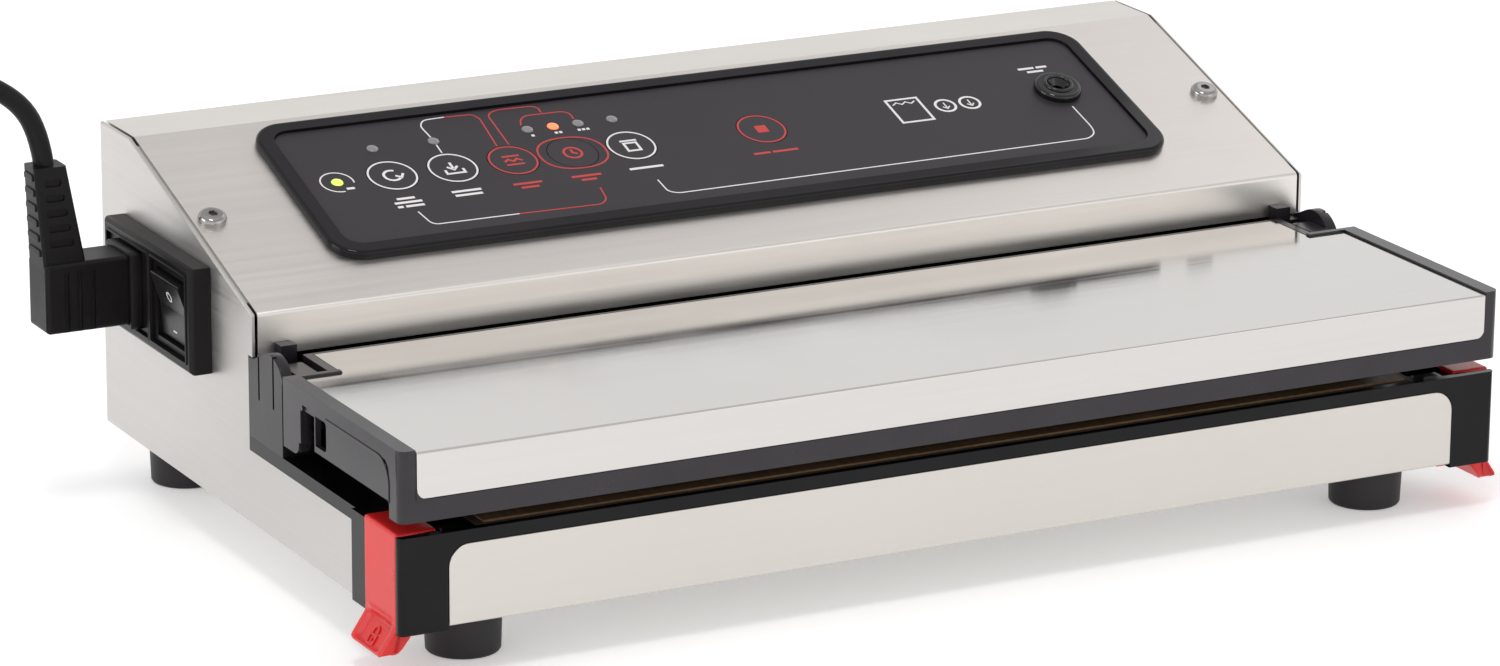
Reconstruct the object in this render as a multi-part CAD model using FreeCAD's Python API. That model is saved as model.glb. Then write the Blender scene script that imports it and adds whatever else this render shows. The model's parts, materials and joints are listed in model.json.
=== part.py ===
import FreeCAD, Part
import math
import os

os.makedirs("parts", exist_ok=True)
Vec = FreeCAD.Vector

# ---------------------------------------------------------------- driving sizes, mm
# Origin: centre of the body's outline on the table. X to the right, Y to the back, Z up.
frameWidth = 395.0          # black front frame and lid
frameProud = 2.5            # the black frame stands out beyond each side panel
panelWidth = frameWidth - 2 * frameProud      # across the two steel side panels
coverEdge = 2.0             # rolled edge of a side panel beside the cover
coverWidth = panelWidth - 2 * coverEdge       # bent steel top cover
frontY = -121.0             # front face of the black base frame
rearY = 121.0               # rear face of the cover
bodyTop = 121.0             # flat strip on top of the cover
floorZ = 17.5               # underside of the chassis
sheet = 1.0                 # cover and chassis steel
faceSheet = 0.8             # bright facing sheets of the lid and the base

lipY = -5.0                 # front lip of the cover, behind the lid
lipTop = 87.0
lipBottom = 73.0
creaseY = 95.5              # where the slope meets the top strip

panelFrontY = -83.0         # front edge of the side panels
panelStepY = -1.5           # side panels rise to full height behind this line
panelLowZ = 41.6            # low top edge of the side panels, beside the base
deckTop = 46.3              # top of the black base deck
deckThick = 4.5
frontTop = 47.3             # top of the front frame
frontBottom = 16.2
frontWall = 2.8
facePlateMargin = 16.5      # black corner of the front frame beside its facing
facePlateWidth = frameWidth - 2 * facePlateMargin
facePlateTop = 43.0
facePlateRound = 7.0

lidFrontY = -122.0
lidTop = 75.1
lidBottom = 52.2            # front edge of the lid as it lies on its gaskets
lidSideBottom = 57.0
lidWall = 2.6
lidFoldSeat = 0.55          # the lid's facing sits this deep in the frame's front
lidShoulderY = -37.0        # the lid's facing narrows behind this line
lidBorder = 2.4             # black edge behind the facing's shoulders
lidRearY = -13.0
lidNeckMargin = 19.2        # room at each end of the lid's neck for a hinge bracket
lidNeckWidth = frameWidth - 2 * lidNeckMargin
lidPlateMargin = 5.6        # black edge of the lid beside its facing
lidPlateWidth = frameWidth - 2 * lidPlateMargin
lidPlateTop = 74.4
lidPlateEdge = 59.6         # lower edge of the sheet where it folds over the front

hingeY = -18.5              # lid axis
hingeZ = 66.3
hingePinRadius = 2.5
hingeFit = 0.05
armInner = frameWidth / 2 - 13.9              # the lid's hinge arms, across the axis
armOuter = frameWidth / 2 - 6.7
armRadius = 7.2
crownRadius = 11.2          # round top of a bracket's outer wall
bracketWall = 3.8
bracketCheek = 1.3          # inner wall of a bracket
bracketGap = 0.4            # between an arm and the walls beside it
bracketFrontY = -28.0

sealMargin = 31.0           # unheated end of the front on each side of the seal bar
sealLength = frameWidth - 2 * sealMargin      # heated length of the seal bar
sealY = -111.0              # centre line of the bar
sealWidth = 10.0
tapeTop = 47.3
gasketFrontY = -94.0        # outer outline of the vacuum chamber's gaskets
gasketRearY = -41.0
gasketHalf = frameWidth / 2 - 25.5
gasketWidth = 6.0
gasketRound = gasketWidth + 3.0               # outer corner of the gaskets' groove
gasketGap = 0.3             # between the two gaskets as the lid lies free
gasketMeetZ = 50.5          # top of the lower gasket

latchFrontY = -117.7        # each latch sits between the front wall and a post
latchRearY = -94.4
latchPivotX = frameWidth / 2 - 8.5
latchPivotZ = 30.0
latchLugY = (-111.0, -103.0)   # the lug that turns on the pin, front and rear
latchFace = frameWidth / 2 - 0.3              # outer face of the lever
latchNose = latchFace - 13.0                  # tip of the hook
latchFlare = latchFace + 5.3                  # lower tab, where a finger presses
latchTop = 47.9
hookThick = 1.3
latchPinRadius = 1.5

bezelHalf = 156.0           # control panel frame, on the slope
bezelStart = 21.0           # distance up the slope from the lip
bezelEnd = 100.5
bezelRound = 11.0
bezelRim = 5.6
bezelHeight = 3.0
bezelFloor = 1.5
overlayThick = 0.5
keyRow = 63.2               # distance up the slope of the row of keys
lightRow = 79.8             # and of the row of lights
keyTravel = 0.5
keyFit = 0.25

inletFrontY = 28.0          # mains inlet on the left side
inletRearY = 101.0
inletLow = 58.7
inletHigh = 94.1
inletProud = 7.4
cellWall = 2.2
cellSplitY = 62.0           # wall between the switch and the socket

footX = (frameWidth / 2 - 32.7, panelWidth / 2 - 19.7)     # front pair, rear pair
footY = (frontY + 25.2, rearY - 21.7)
footRadius = 11.8
footFlange = 12.4

hoseRadius = 4.6            # inner vacuum hoses, pushed over nipples
hoseWall = 1.35

cordRadius = 3.4
coilTurnRadius = 38.0       # middle of the turns
coilSpread = 21.0           # three turns side by side
coilHeight = 13.6           # two layers


# ---------------------------------------------------------------- helpers
def box(x0, x1, y0, y1, z0, z1):
    return Part.makeBox(x1 - x0, y1 - y0, z1 - z0, Vec(x0, y0, z0))


def rod(start, end, radius):
    # round bar between two points
    a = Vec(*start)
    b = Vec(*end)
    return Part.makeCylinder(radius, (b - a).Length, a, b - a)


def prismX(points, x0, x1):
    # outline in Y and Z, carried along X
    wire = Part.makePolygon([Vec(x0, y, z) for y, z in points + points[:1]])
    return Part.Face(wire).extrude(Vec(x1 - x0, 0, 0))


def prismY(points, y0, y1):
    # outline in X and Z, carried along Y
    wire = Part.makePolygon([Vec(x, y0, z) for x, z in points + points[:1]])
    return Part.Face(wire).extrude(Vec(0, y1 - y0, 0))


def roundedBox(x0, x1, y0, y1, z0, z1, radius, axis="z"):
    # box whose four edges along one axis are rounded
    block = box(x0, x1, y0, y1, z0, z1)
    return block.makeFillet(radius, edgesAlong(block, axis))


def edgesAlong(shape, axis, test=lambda c: True):
    # straight edges parallel to an axis whose centre passes the test
    unit = {"x": Vec(1, 0, 0), "y": Vec(0, 1, 0), "z": Vec(0, 0, 1)}[axis]
    found = []
    for edge in shape.Edges:
        if edge.Curve.TypeId != "Part::GeomLine":
            continue
        direction = edge.Curve.Direction
        if abs(abs(direction.dot(unit)) - 1) < 1e-6 and test(edge.CenterOfMass):
            found.append(edge)
    return found


def fuse(pieces):
    first = pieces[0]
    if len(pieces) == 1:
        return first
    return first.fuse(pieces[1:]).removeSplitter()


def cut(shape, tools):
    return shape.cut(tools).removeSplitter()


def mirrored(shape):
    return shape.mirror(Vec(0, 0, 0), Vec(1, 0, 0))


def save(name, solids):
    # one file per node; a list becomes a group of separate solids
    shape = solids if not isinstance(solids, list) else Part.makeCompound(solids)
    for solid in shape.Solids:
        if not solid.isValid() or solid.Volume <= 0:
            print("CHECK", name, "solid is not valid")
    shape.exportStep("parts/" + name + ".step")
    print(name, len(shape.Solids), "solid(s)", round(shape.Volume / 1000, 2), "cm3")


# the slope: u across, s up the slope from the lip, n square to it
slopeRun = creaseY - lipY
slopeRise = bodyTop - lipTop
slopeAngle = math.atan2(slopeRise, slopeRun)
slopeLength = math.hypot(slopeRun, slopeRise)


def onSlope(shape):
    # carries a shape drawn at (u, s, n) = (x, y, z) onto the slope
    moved = shape.copy()
    moved.rotate(Vec(0, 0, 0), Vec(1, 0, 0), math.degrees(slopeAngle))
    moved.translate(Vec(0, lipY, lipTop))
    return moved


def ring(outerHalfX, outerY0, outerY1, width, z0, z1, corner):
    # rectangular ring with rounded corners, lying flat
    outer = roundedBox(-outerHalfX, outerHalfX, outerY0, outerY1, z0, z1, corner)
    inner = roundedBox(
        -outerHalfX + width, outerHalfX - width, outerY0 + width, outerY1 - width, z0, z1, corner - width)
    return outer.cut(inner)


def buttonScrew(headRadius, headHeight, shankRadius, length, socket):
    # button head above z = 0, shank below, hexagon socket in the head
    head = Part.makeCylinder(headRadius, headHeight)
    rim = [e for e in head.Edges if abs(e.CenterOfMass.z - headHeight) < 1e-6
           and e.Curve.TypeId == "Part::GeomCircle"]
    head = head.makeFillet(headHeight * 0.7, rim)
    shank = Part.makeCylinder(shankRadius, length, Vec(0, 0, -length))
    turns = [math.radians(60 * i) for i in range(6)]
    corners = [Vec(socket * math.cos(t), socket * math.sin(t), headHeight * 0.35) for t in turns]
    hexagon = Part.Face(Part.makePolygon(corners + corners[:1])).extrude(Vec(0, 0, headHeight))
    return head.fuse(shank).removeSplitter().cut(hexagon)


# ---------------------------------------------------------------- chassis and cover
coverScrewU = coverWidth / 2 - 6.5
coverScrewS = 54.0
coverScrewShank = 2.5
rearScrewX = [side * (coverWidth / 2 - 43.0) for side in (-1, 0, 1)]
rearScrewZ = 30.0
rearScrewShank = 1.75
rearHeadHeight = -(lidFrontY + lidFoldSeat - faceSheet) - rearY
footScrewRadius = 2.0
edgeDrop = 0.2              # rolled edge of a side panel lies this much below the cover
seamGap = 0.3               # between the cover and the rolled edges

def coverOutline(inset):
    # outer line of the cover in Y and Z, moved inwards by inset
    shift = inset * math.tan(slopeAngle / 2)
    lipLift = inset * math.tan((math.pi / 2 - slopeAngle) / 2)
    return [
        (lipY + inset, lipTop - lipLift),
        (creaseY + shift, bodyTop - inset),
        (rearY - inset, bodyTop - inset)]


def makeCover():
    outer = [(lipY, lipBottom)] + coverOutline(0) + [(rearY, floorZ + sheet)]
    inner = [(lipY + sheet, lipBottom)] + coverOutline(sheet) + [(rearY - sheet, floorZ + sheet)]
    half = coverWidth / 2
    body = prismX(outer + inner[::-1], -half, half)
    # bends of the sheet: small radii outside
    lip = edgesAlong(body, "x", lambda c: abs(c.y - lipY) < 0.01 and abs(c.z - lipTop) < 0.01)
    body = body.makeFillet(1.6, lip)
    heel = edgesAlong(body, "x", lambda c: abs(c.y - rearY) < 0.01 and c.z > bodyTop - 1)
    body = body.makeFillet(1.6, heel)
    tools = []
    window = roundedBox(-bezelHalf + 7, bezelHalf - 7, bezelStart + 5, bezelEnd - 5, -sheet - 2, 2, 6)
    tools.append(onSlope(window))
    for side in (-1, 1):
        hole = Part.makeCylinder(coverScrewShank + 0.2, 8, Vec(side * coverScrewU, coverScrewS, -4))
        tools.append(onSlope(hole))
    for x in rearScrewX:
        tools.append(rod((x, rearY - 5, rearScrewZ), (x, rearY + 5, rearScrewZ), rearScrewShank + 0.2))
    return cut(body, tools)


def sidePanel(side):
    # right-hand panel; the left one is its mirror image with the inlet window
    outerX = panelWidth / 2
    points = [(panelFrontY, floorZ), (panelFrontY, panelLowZ), (panelStepY, panelLowZ)]
    points += [(panelStepY, lipTop - 14)]
    points += [(lipY + edgeDrop, lipTop - 14)] + coverOutline(edgeDrop)[0:2]
    points += [(rearY - sheet, bodyTop - edgeDrop), (rearY - sheet, floorZ)]
    panel = prismX(points, outerX - sheet, outerX)
    # rolled edge that frames the cover, a hair outside its cut edge
    line = coverOutline(edgeDrop)
    under = coverOutline(edgeDrop + sheet)
    band = [(lipY + edgeDrop, lipBottom + 0.2)] + line + [(rearY - sheet, line[2][1])]
    band += [(rearY - sheet, under[2][1])] + under[1::-1] + [(lipY + edgeDrop + sheet, lipBottom + 0.2)]
    panel = panel.fuse(prismX(band, coverWidth / 2 + seamGap, outerX)).removeSplitter()
    outerEdges = [e for e in panel.Edges if abs(e.BoundBox.XMin - outerX) < 0.001
                  and e.BoundBox.ZMin > lipTop - 1]
    panel = panel.makeFillet(0.7, outerEdges)
    # flange under the cover, which the cover screw goes into
    flangeWide = 14.0
    flange = box(outerX - sheet - flangeWide, outerX - sheet, 8, slopeLength - 4, -2 * sheet, -sheet)
    hole = Part.makeCylinder(coverScrewShank, 8, Vec(coverScrewU, coverScrewS, -4))
    panel = panel.fuse(onSlope(flange.cut(hole)))
    return panel if side > 0 else mirrored(panel)


def makeChassis():
    half = panelWidth / 2
    floor = box(-half, half, panelFrontY, rearY - sheet, floorZ, floorZ + sheet)
    rearFlange = box(-half + sheet, half - sheet, rearY - 2 * sheet, rearY - sheet, floorZ, rearScrewZ + 10)
    body = fuse([floor, rearFlange, sidePanel(1), sidePanel(-1)])
    tools = []
    fit = 0.3
    tools.append(box(-half - 2, -half + 3, inletFrontY + 2.5 - fit, inletRearY - 2.5 + fit,
                     inletLow + 2.5 - fit, inletHigh - 2.5 + fit))
    for side in (-1, 1):
        tools.append(rod((side * footX[1], footY[1], floorZ - 1), (side * footX[1], footY[1], floorZ + 3),
                         footScrewRadius + 0.2))
    for x in rearScrewX:
        tools.append(rod((x, rearY - 6, rearScrewZ), (x, rearY, rearScrewZ), rearScrewShank))
    return cut(body, tools)


save("chassis", makeChassis())
save("top_cover", makeCover())

coverScrews = []
for side in (-1, 1):
    screw = buttonScrew(4.75, 2.7, coverScrewShank - 0.02, 9, 1.7)
    screw.translate(Vec(side * coverScrewU, coverScrewS, 0))
    coverScrews.append(onSlope(screw))
save("cover_screws", coverScrews)

rearScrews = []
for x in rearScrewX:
    screw = buttonScrew(3.4, rearHeadHeight, rearScrewShank - 0.02, 7, 1.3)
    screw.rotate(Vec(0, 0, 0), Vec(1, 0, 0), -90)
    screw.translate(Vec(x, rearY, rearScrewZ))
    rearScrews.append(screw)
save("rear_screws", rearScrews)


# ---------------------------------------------------------------- black base
# front wall with the steel facing, deck with the seal bar bed, gasket groove and suction trough
frontInner = frontY + frontWall
postFrontY = latchRearY + 0.6
pocketInnerX = frameWidth / 2 - 16.5
barBedFloor = 36.0
barBedHalf = sealLength / 2 + 3
grooveDepth = 2.6
grooveFit = 0.2
troughHalf = gasketHalf - gasketWidth - 5
troughFrontY = gasketFrontY + gasketWidth + 5
troughRearY = gasketRearY - gasketWidth - 5
troughFloor = 30.0
suctionX = 60.0
suctionZ = 34.6
nippleBore = 2.0
nippleRadius = 3.2
nippleEnd = troughRearY + 14.0
catchX = (pocketInnerX - 11.0, pocketInnerX + 3.5)    # slot through which a lid catch reaches the hook
catchY = (-110.5, -101.5)
catchScrewX = pocketInnerX + 4.5
catchStrip = 1.2
facingRecess = 0.5


def makeBaseFrame():
    half = frameWidth / 2
    panelIn = panelWidth / 2 - sheet - 0.2
    wall = roundedBox(-half, half, frontY, frontInner + 2, frontBottom, frontTop, 1.9)
    wall = wall.cut(box(-half, half, frontInner, frontInner + 3, frontBottom, frontTop))
    facing = box(-facePlateWidth / 2 - 0.2, facePlateWidth / 2 + 0.2, frontY - 1, frontY + facingRecess,
                 frontBottom - 1, facePlateTop + 0.2)
    facing = facing.makeFillet(facePlateRound, edgesAlong(facing, "y", lambda c: c.z > 30))
    underFacing = box(-facePlateWidth / 2 - 0.2, facePlateWidth / 2 + 0.2, frontY - 1, frontInner,
                      frontBottom - 1, floorZ + faceSheet)
    wall = wall.cut([facing, underFacing])
    pieces = [wall]
    # deck and the strip that shows above the side panels
    pieces.append(box(-panelIn, panelIn, frontInner, panelStepY, deckTop - deckThick, deckTop))
    strip = panelWidth / 2
    pieces.append(box(-strip, strip, postFrontY + 2, panelStepY, panelLowZ, deckTop))
    # skirts inside the side panels, floor at the front, rear wall
    for side in (-1, 1):
        x0, x1 = sorted((side * (panelIn - 2.4), side * panelIn))
        pieces.append(box(x0, x1, postFrontY, panelStepY, floorZ + sheet, deckTop - 1))
        x0, x1 = sorted((side * pocketInnerX, side * (half - 1.1)))
        post = box(x0, x1, postFrontY, panelFrontY - 0.4, frontBottom + 0.6, deckTop)
        pieces.append(post)
        x0, x1 = sorted((side * (pocketInnerX - 2.4), side * pocketInnerX))
        pieces.append(box(x0, x1, frontInner, panelFrontY - 0.4, floorZ + faceSheet, deckTop))
    pieces.append(box(-pocketInnerX, pocketInnerX, frontInner, panelFrontY - 0.4,
                      floorZ + faceSheet, floorZ + faceSheet + 2.2))
    pieces.append(box(-panelIn, panelIn, panelStepY - 2.4, panelStepY, floorZ + sheet, deckTop - 1))
    # bed of the seal bar and body of the trough
    pieces.append(box(-barBedHalf - 2, barBedHalf + 2, frontInner, sealY + sealWidth / 2 + 2.2,
                      barBedFloor - 2.2, deckTop))
    pieces.append(box(-troughHalf - 2.2, troughHalf + 2.2, troughFrontY - 2.2, troughRearY + 2.2,
                      troughFloor - 2.2, deckTop))
    pieces.append(rod((suctionX, troughRearY + 1, suctionZ), (suctionX, nippleEnd, suctionZ), nippleRadius))
    for side in (-1, 1):
        boss = rod((side * footX[0], footY[0], floorZ + faceSheet),
                   (side * footX[0], footY[0], floorZ + 12), 5.0)
        pieces.append(boss)
    body = fuse(pieces)
    tools = []
    tools.append(box(-barBedHalf, barBedHalf, sealY - sealWidth / 2 - 0.2, sealY + sealWidth / 2 + 0.2,
                     barBedFloor, deckTop + 2))
    tools.append(roundedBox(-troughHalf, troughHalf, troughFrontY, troughRearY, troughFloor, deckTop + 2, 8))
    tools.append(ring(gasketHalf + grooveFit, gasketFrontY - grooveFit, gasketRearY + grooveFit,
                      gasketWidth + 2 * grooveFit, deckTop - grooveDepth, deckTop + 2, gasketRound))
    tools.append(rod((suctionX, troughRearY - 1, suctionZ), (suctionX, nippleEnd + 1, suctionZ), nippleBore))
    tools.append(rod((suctionX, panelStepY - 4, suctionZ), (suctionX, panelStepY + 1, suctionZ),
                     hoseRadius + 0.4))
    for side in (-1, 1):
        # pocket of the latch, open outwards, above and below
        x0, x1 = sorted((side * pocketInnerX, side * (half + 1)))
        tools.append(box(x0, x1, frontInner, postFrontY, frontBottom - 1, deckTop + 2))
        x0, x1 = sorted((side * catchX[0], side * (catchX[1])))
        tools.append(box(x0, x1, catchY[0], catchY[1], 40.0, deckTop + 2))
        # holes for the latch pin, feet screws and hinge bracket screws
        tools.append(rod((side * latchPivotX, frontInner - 1.4, latchPivotZ),
                         (side * latchPivotX, postFrontY + 5, latchPivotZ), latchPinRadius))
        tools.append(rod((side * footX[0], footY[0], floorZ), (side * footX[0], footY[0], floorZ + 10),
                         footScrewRadius))
    return cut(body, tools)


def makeFacePlate():
    # bright facing: front face and a fold under the base
    half = facePlateWidth / 2
    yOut = frontY + facingRecess - faceSheet
    front = box(-half, half, yOut, frontY + facingRecess, floorZ, facePlateTop)
    front = front.makeFillet(facePlateRound, edgesAlong(front, "y", lambda c: c.z > 30))
    under = box(-half, half, yOut, panelFrontY - 0.4, floorZ, floorZ + faceSheet)
    body = front.fuse(under).removeSplitter()
    bend = edgesAlong(body, "x", lambda c: abs(c.y - yOut) < 0.01 and abs(c.z - floorZ) < 0.01)
    body = body.makeFillet(0.7, bend)
    holes = [rod((side * footX[0], footY[0], floorZ - 1), (side * footX[0], footY[0], floorZ + 2),
                 footScrewRadius + 0.2) for side in (-1, 1)]
    return cut(body, holes)


save("base_frame", makeBaseFrame())
save("front_facing", makeFacePlate())

# seal bar, heating wire, tape
barHeight = tapeTop - 0.6 - barBedFloor
sealBar = box(-barBedHalf + 0.3, barBedHalf - 0.3, sealY - sealWidth / 2, sealY + sealWidth / 2,
              barBedFloor, barBedFloor + barHeight)
sealBar = sealBar.makeFillet(0.8, edgesAlong(sealBar, "x", lambda c: c.z > 40))
save("seal_bar", sealBar)
save("heating_wire", box(-sealLength / 2, sealLength / 2, sealY - 1.5, sealY + 1.5,
                         barBedFloor + barHeight, barBedFloor + barHeight + 0.3))
tapeBody = box(-sealLength / 2, sealLength / 2, sealY - 3.9, sealY + 3.9, barBedFloor + barHeight, tapeTop)
tapeBody = tapeBody.cut(box(-sealLength / 2, sealLength / 2, sealY - 1.6, sealY + 1.6,
                            barBedFloor + barHeight - 1, barBedFloor + barHeight + 0.3))
save("seal_tape", tapeBody)

lowerGasket = ring(gasketHalf, gasketFrontY, gasketRearY, gasketWidth, deckTop - grooveDepth,
                   gasketMeetZ, gasketRound - grooveFit)
save("lower_gasket", lowerGasket)


# ---------------------------------------------------------------- hinge brackets and pins
bracketOuter = panelWidth / 2
bracketInner = armInner - bracketGap - bracketCheek
bracketSaddle = hingeZ - armRadius - 1.4
bracketRearWall = hingeY + armRadius + 1.1
bracketTop = 72.9


def hingeBracket():
    # right-hand bracket: base on the deck, outer wall with a round crown over the axis and two slots
    # that free a spring tongue, thin inner cheek, rear wall; the lid's arm turns between the walls
    rear = panelStepY - 0.1
    base = Vec(0, bracketFrontY, deckTop)
    front = Vec(0, bracketFrontY, hingeZ + 4.0)
    start = math.radians(154)
    middle = math.radians(120)
    end = math.radians(62)
    onCrown = [Vec(0, hingeY + crownRadius * math.cos(t), hingeZ + crownRadius * math.sin(t))
               for t in (start, middle, end)]
    edges = [
        Part.makeLine(base, front), Part.makeLine(front, onCrown[0]), Part.Arc(*onCrown).toShape(),
        Part.makeLine(onCrown[2], Vec(0, lipY - 1.0, bracketTop)),
        Part.makeLine(Vec(0, lipY - 1.0, bracketTop), Vec(0, rear, bracketTop - 0.4)),
        Part.makeLine(Vec(0, rear, bracketTop - 0.4), Vec(0, rear, deckTop)),
        Part.makeLine(Vec(0, rear, deckTop), base)]
    wall = Part.Face(Part.Wire(edges)).extrude(Vec(bracketWall, 0, 0))
    wall.translate(Vec(bracketOuter - bracketWall, 0, 0))
    block = box(bracketInner, bracketOuter, bracketFrontY, rear, deckTop, bracketSaddle)
    rearWall = box(bracketInner, bracketOuter, bracketRearWall, rear, deckTop, bracketTop - 0.4)
    stop = box(bracketInner, bracketInner + 5.5, bracketRearWall, lipY - 0.5, deckTop, bracketTop + 4.2)
    cheek = box(bracketInner, bracketInner + bracketCheek, bracketFrontY, rear, deckTop, hingeZ)
    cheek = cheek.fuse(rod((bracketInner, hingeY, hingeZ), (bracketInner + bracketCheek, hingeY, hingeZ), 5.0))
    body = fuse([wall, block, rearWall, stop, cheek])
    tools = []
    for y in (hingeY - 3.2, hingeY + 8.2):
        tools.append(box(bracketOuter - 1.4, bracketOuter + 1, y, y + 1.1,
                         hingeZ - 6.0, hingeZ + crownRadius + 2))
    tools.append(rod((bracketInner - 1, hingeY, hingeZ), (bracketOuter - 1.6, hingeY, hingeZ), hingePinRadius))
    # room for the cover's lip, which comes down behind the bracket
    tools.append(box(bracketInner - 1, bracketOuter + 1, lipY - 0.3, rear + 1, lipBottom - 0.3, hingeZ + 20))
    return cut(body, tools)


rightBracket = hingeBracket()
save("hinge_bracket_right", rightBracket)
save("hinge_bracket_left", mirrored(rightBracket))
rightPin = rod((bracketInner, hingeY, hingeZ), (bracketOuter - 1.6, hingeY, hingeZ), hingePinRadius)
save("hinge_pin_right", rightPin)
save("hinge_pin_left", mirrored(rightPin))


# ---------------------------------------------------------------- lid
webTop = lidPlateTop - faceSheet
webThick = 2.6
gasketSeatZ = 58.0
pressSeatZ = 58.0
ribWall = 2.0


def makeLidFrame():
    half = frameWidth / 2
    neck = lidNeckWidth / 2 + 3.0
    backY = lidShoulderY + lidBorder
    # outer body: rim and walls
    body = roundedBox(-half, half, lidFrontY, backY, lidSideBottom, lidTop, 3.0)
    hollow = box(-half + lidWall, half - lidWall, lidFrontY + lidWall, backY - 2.4,
                 lidSideBottom - 1, webTop - webThick)
    body = body.cut(hollow)
    pieces = [body]
    cornerDepth = 8.0
    frontStrip = roundedBox(-half, half, lidFrontY, lidFrontY + cornerDepth + 3,
                            lidBottom, lidSideBottom + 1, 3.0)
    frontStrip = frontStrip.cut([
        box(-half + lidWall, half - lidWall, lidFrontY + lidWall, lidFrontY + cornerDepth + 4, lidBottom - 1,
            lidSideBottom + 2),
        box(-half - 1, half + 1, lidFrontY + cornerDepth, lidFrontY + cornerDepth + 4, lidBottom - 1,
            lidSideBottom + 2)])
    pieces.append(frontStrip)
    # neck between the brackets
    pieces.append(box(-neck, neck, backY - 1, lidRearY, webTop - webThick, lidPlateTop))
    pieces.append(box(-neck, neck, lidRearY - 2.4, lidRearY, hingeZ - 4, lidPlateTop))
    for side in (-1, 1):
        # hinge arm, rounded about the axis
        x0, x1 = sorted((side * armInner, side * armOuter))
        pieces.append(rod((x0, hingeY, hingeZ), (x1, hingeY, hingeZ), armRadius))
        pieces.append(box(x0, x1, backY - 2.4, hingeY, hingeZ - armRadius, hingeZ + armRadius))
        # end of the side wall that hangs in front of the bracket
        x0, x1 = sorted((side * (half - 4.2), side * half))
        tongue = box(x0, x1, -46.5, backY, lidBottom + 0.5, lidTop)
        tongue = tongue.makeFillet(3.5, edgesAlong(tongue, "x", lambda c: c.z < 60 and c.y < -40))
        pieces.append(tongue)
    # ribs that hold the gasket and the pressing strip
    outerHalf = gasketHalf + grooveFit + ribWall
    pieces.append(ring(outerHalf, gasketFrontY - grooveFit - ribWall, gasketRearY + grooveFit + ribWall,
                       gasketWidth + 2 * (grooveFit + ribWall), gasketSeatZ - 2.4,
                       webTop - webThick + 0.5, gasketRound + ribWall))
    pieces.append(box(-barBedHalf, barBedHalf, sealY - sealWidth / 2 - ribWall, sealY + sealWidth / 2 + ribWall,
                      pressSeatZ - 2.4, webTop - webThick + 0.5))
    body = fuse(pieces)
    tools = []
    # seat of the steel facing: top and folded front
    plateHalf = lidPlateWidth / 2 + 0.25
    tools.append(box(-plateHalf, plateHalf, lidFrontY - 1, lidShoulderY + 0.2, webTop, lidTop + 1))
    neckSeat = lidNeckWidth / 2
    tools.append(box(-neckSeat, neckSeat, lidShoulderY, lidRearY - 1.2, webTop, lidTop + 1))
    tools.append(box(-plateHalf, plateHalf, lidFrontY - 1, lidFrontY + lidFoldSeat,
                     lidPlateEdge - 0.3, lidTop + 1))
    # shallow panels on the outer side walls, with the hand slot towards the rear
    for side in (-1, 1):
        x0, x1 = sorted((side * (half - 0.7), side * (half + 1)))
        panel = box(x0, x1, lidFrontY + 8, -49.5, lidSideBottom - 1, lidTop - 5)
        panel = panel.makeFillet(4.0, edgesAlong(panel, "x", lambda c: c.z > 60 and c.y < -100))
        tools.append(panel)
        x0, x1 = sorted((side * (half - lidWall - 1), side * (half + 1)))
        tools.append(box(x0, x1, -57, -48, lidSideBottom - 1, lidTop - 7))
        slot = box(x0, x1, -66, -57.8, lidSideBottom + 2, lidTop - 6.5)
        tools.append(slot.makeFillet(1.5, edgesAlong(slot, "x", lambda c: c.y < -60)))
        tools.append(rod((side * (armInner - 1), hingeY, hingeZ), (side * (armOuter + 1), hingeY, hingeZ),
                         hingePinRadius + hingeFit))
        pilotY = (catchY[0] + catchY[1]) / 2
        tools.append(rod((side * catchScrewX, pilotY, webTop - webThick - 1),
                         (side * catchScrewX, pilotY, webTop - 1), 1.5))
    tools.append(ring(gasketHalf + grooveFit, gasketFrontY - grooveFit, gasketRearY + grooveFit,
                      gasketWidth + 2 * grooveFit, gasketSeatZ - 5, gasketSeatZ, gasketRound))
    tools.append(box(-barBedHalf - 1, barBedHalf + 1, sealY - sealWidth / 2 - 0.2, sealY + sealWidth / 2 + 0.2,
                     pressSeatZ - 5, pressSeatZ))
    return cut(body, tools)


def makeLidPlate():
    half = lidPlateWidth / 2
    neck = lidNeckWidth / 2 - 0.3
    yOut = lidFrontY + lidFoldSeat - faceSheet
    top = box(-half, half, yOut, lidShoulderY, webTop, lidPlateTop)
    fold = box(-half, half, yOut, lidFrontY + lidFoldSeat, lidPlateEdge, lidPlateTop)
    rear = box(-neck, neck, lidShoulderY - 1, lidRearY - 1.4, webTop, lidPlateTop)
    body = fuse([top, fold, rear])
    body = body.makeFillet(0.75, edgesAlong(body, "x", lambda c: abs(c.y - yOut) < 0.01 and c.z > 70))
    return body


save("lid_frame", makeLidFrame())
save("lid_facing", makeLidPlate())
lidGasket = ring(gasketHalf, gasketFrontY, gasketRearY, gasketWidth, gasketMeetZ + gasketGap,
                 gasketSeatZ, gasketRound - grooveFit)
save("lid_gasket", lidGasket)
pressLow = 51.4
pressHalf = sealWidth / 2 - grooveFit
save("pressing_strip", box(-barBedHalf + 1, barBedHalf - 1, sealY - pressHalf, sealY + pressHalf,
                           pressLow, pressSeatZ))


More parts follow.
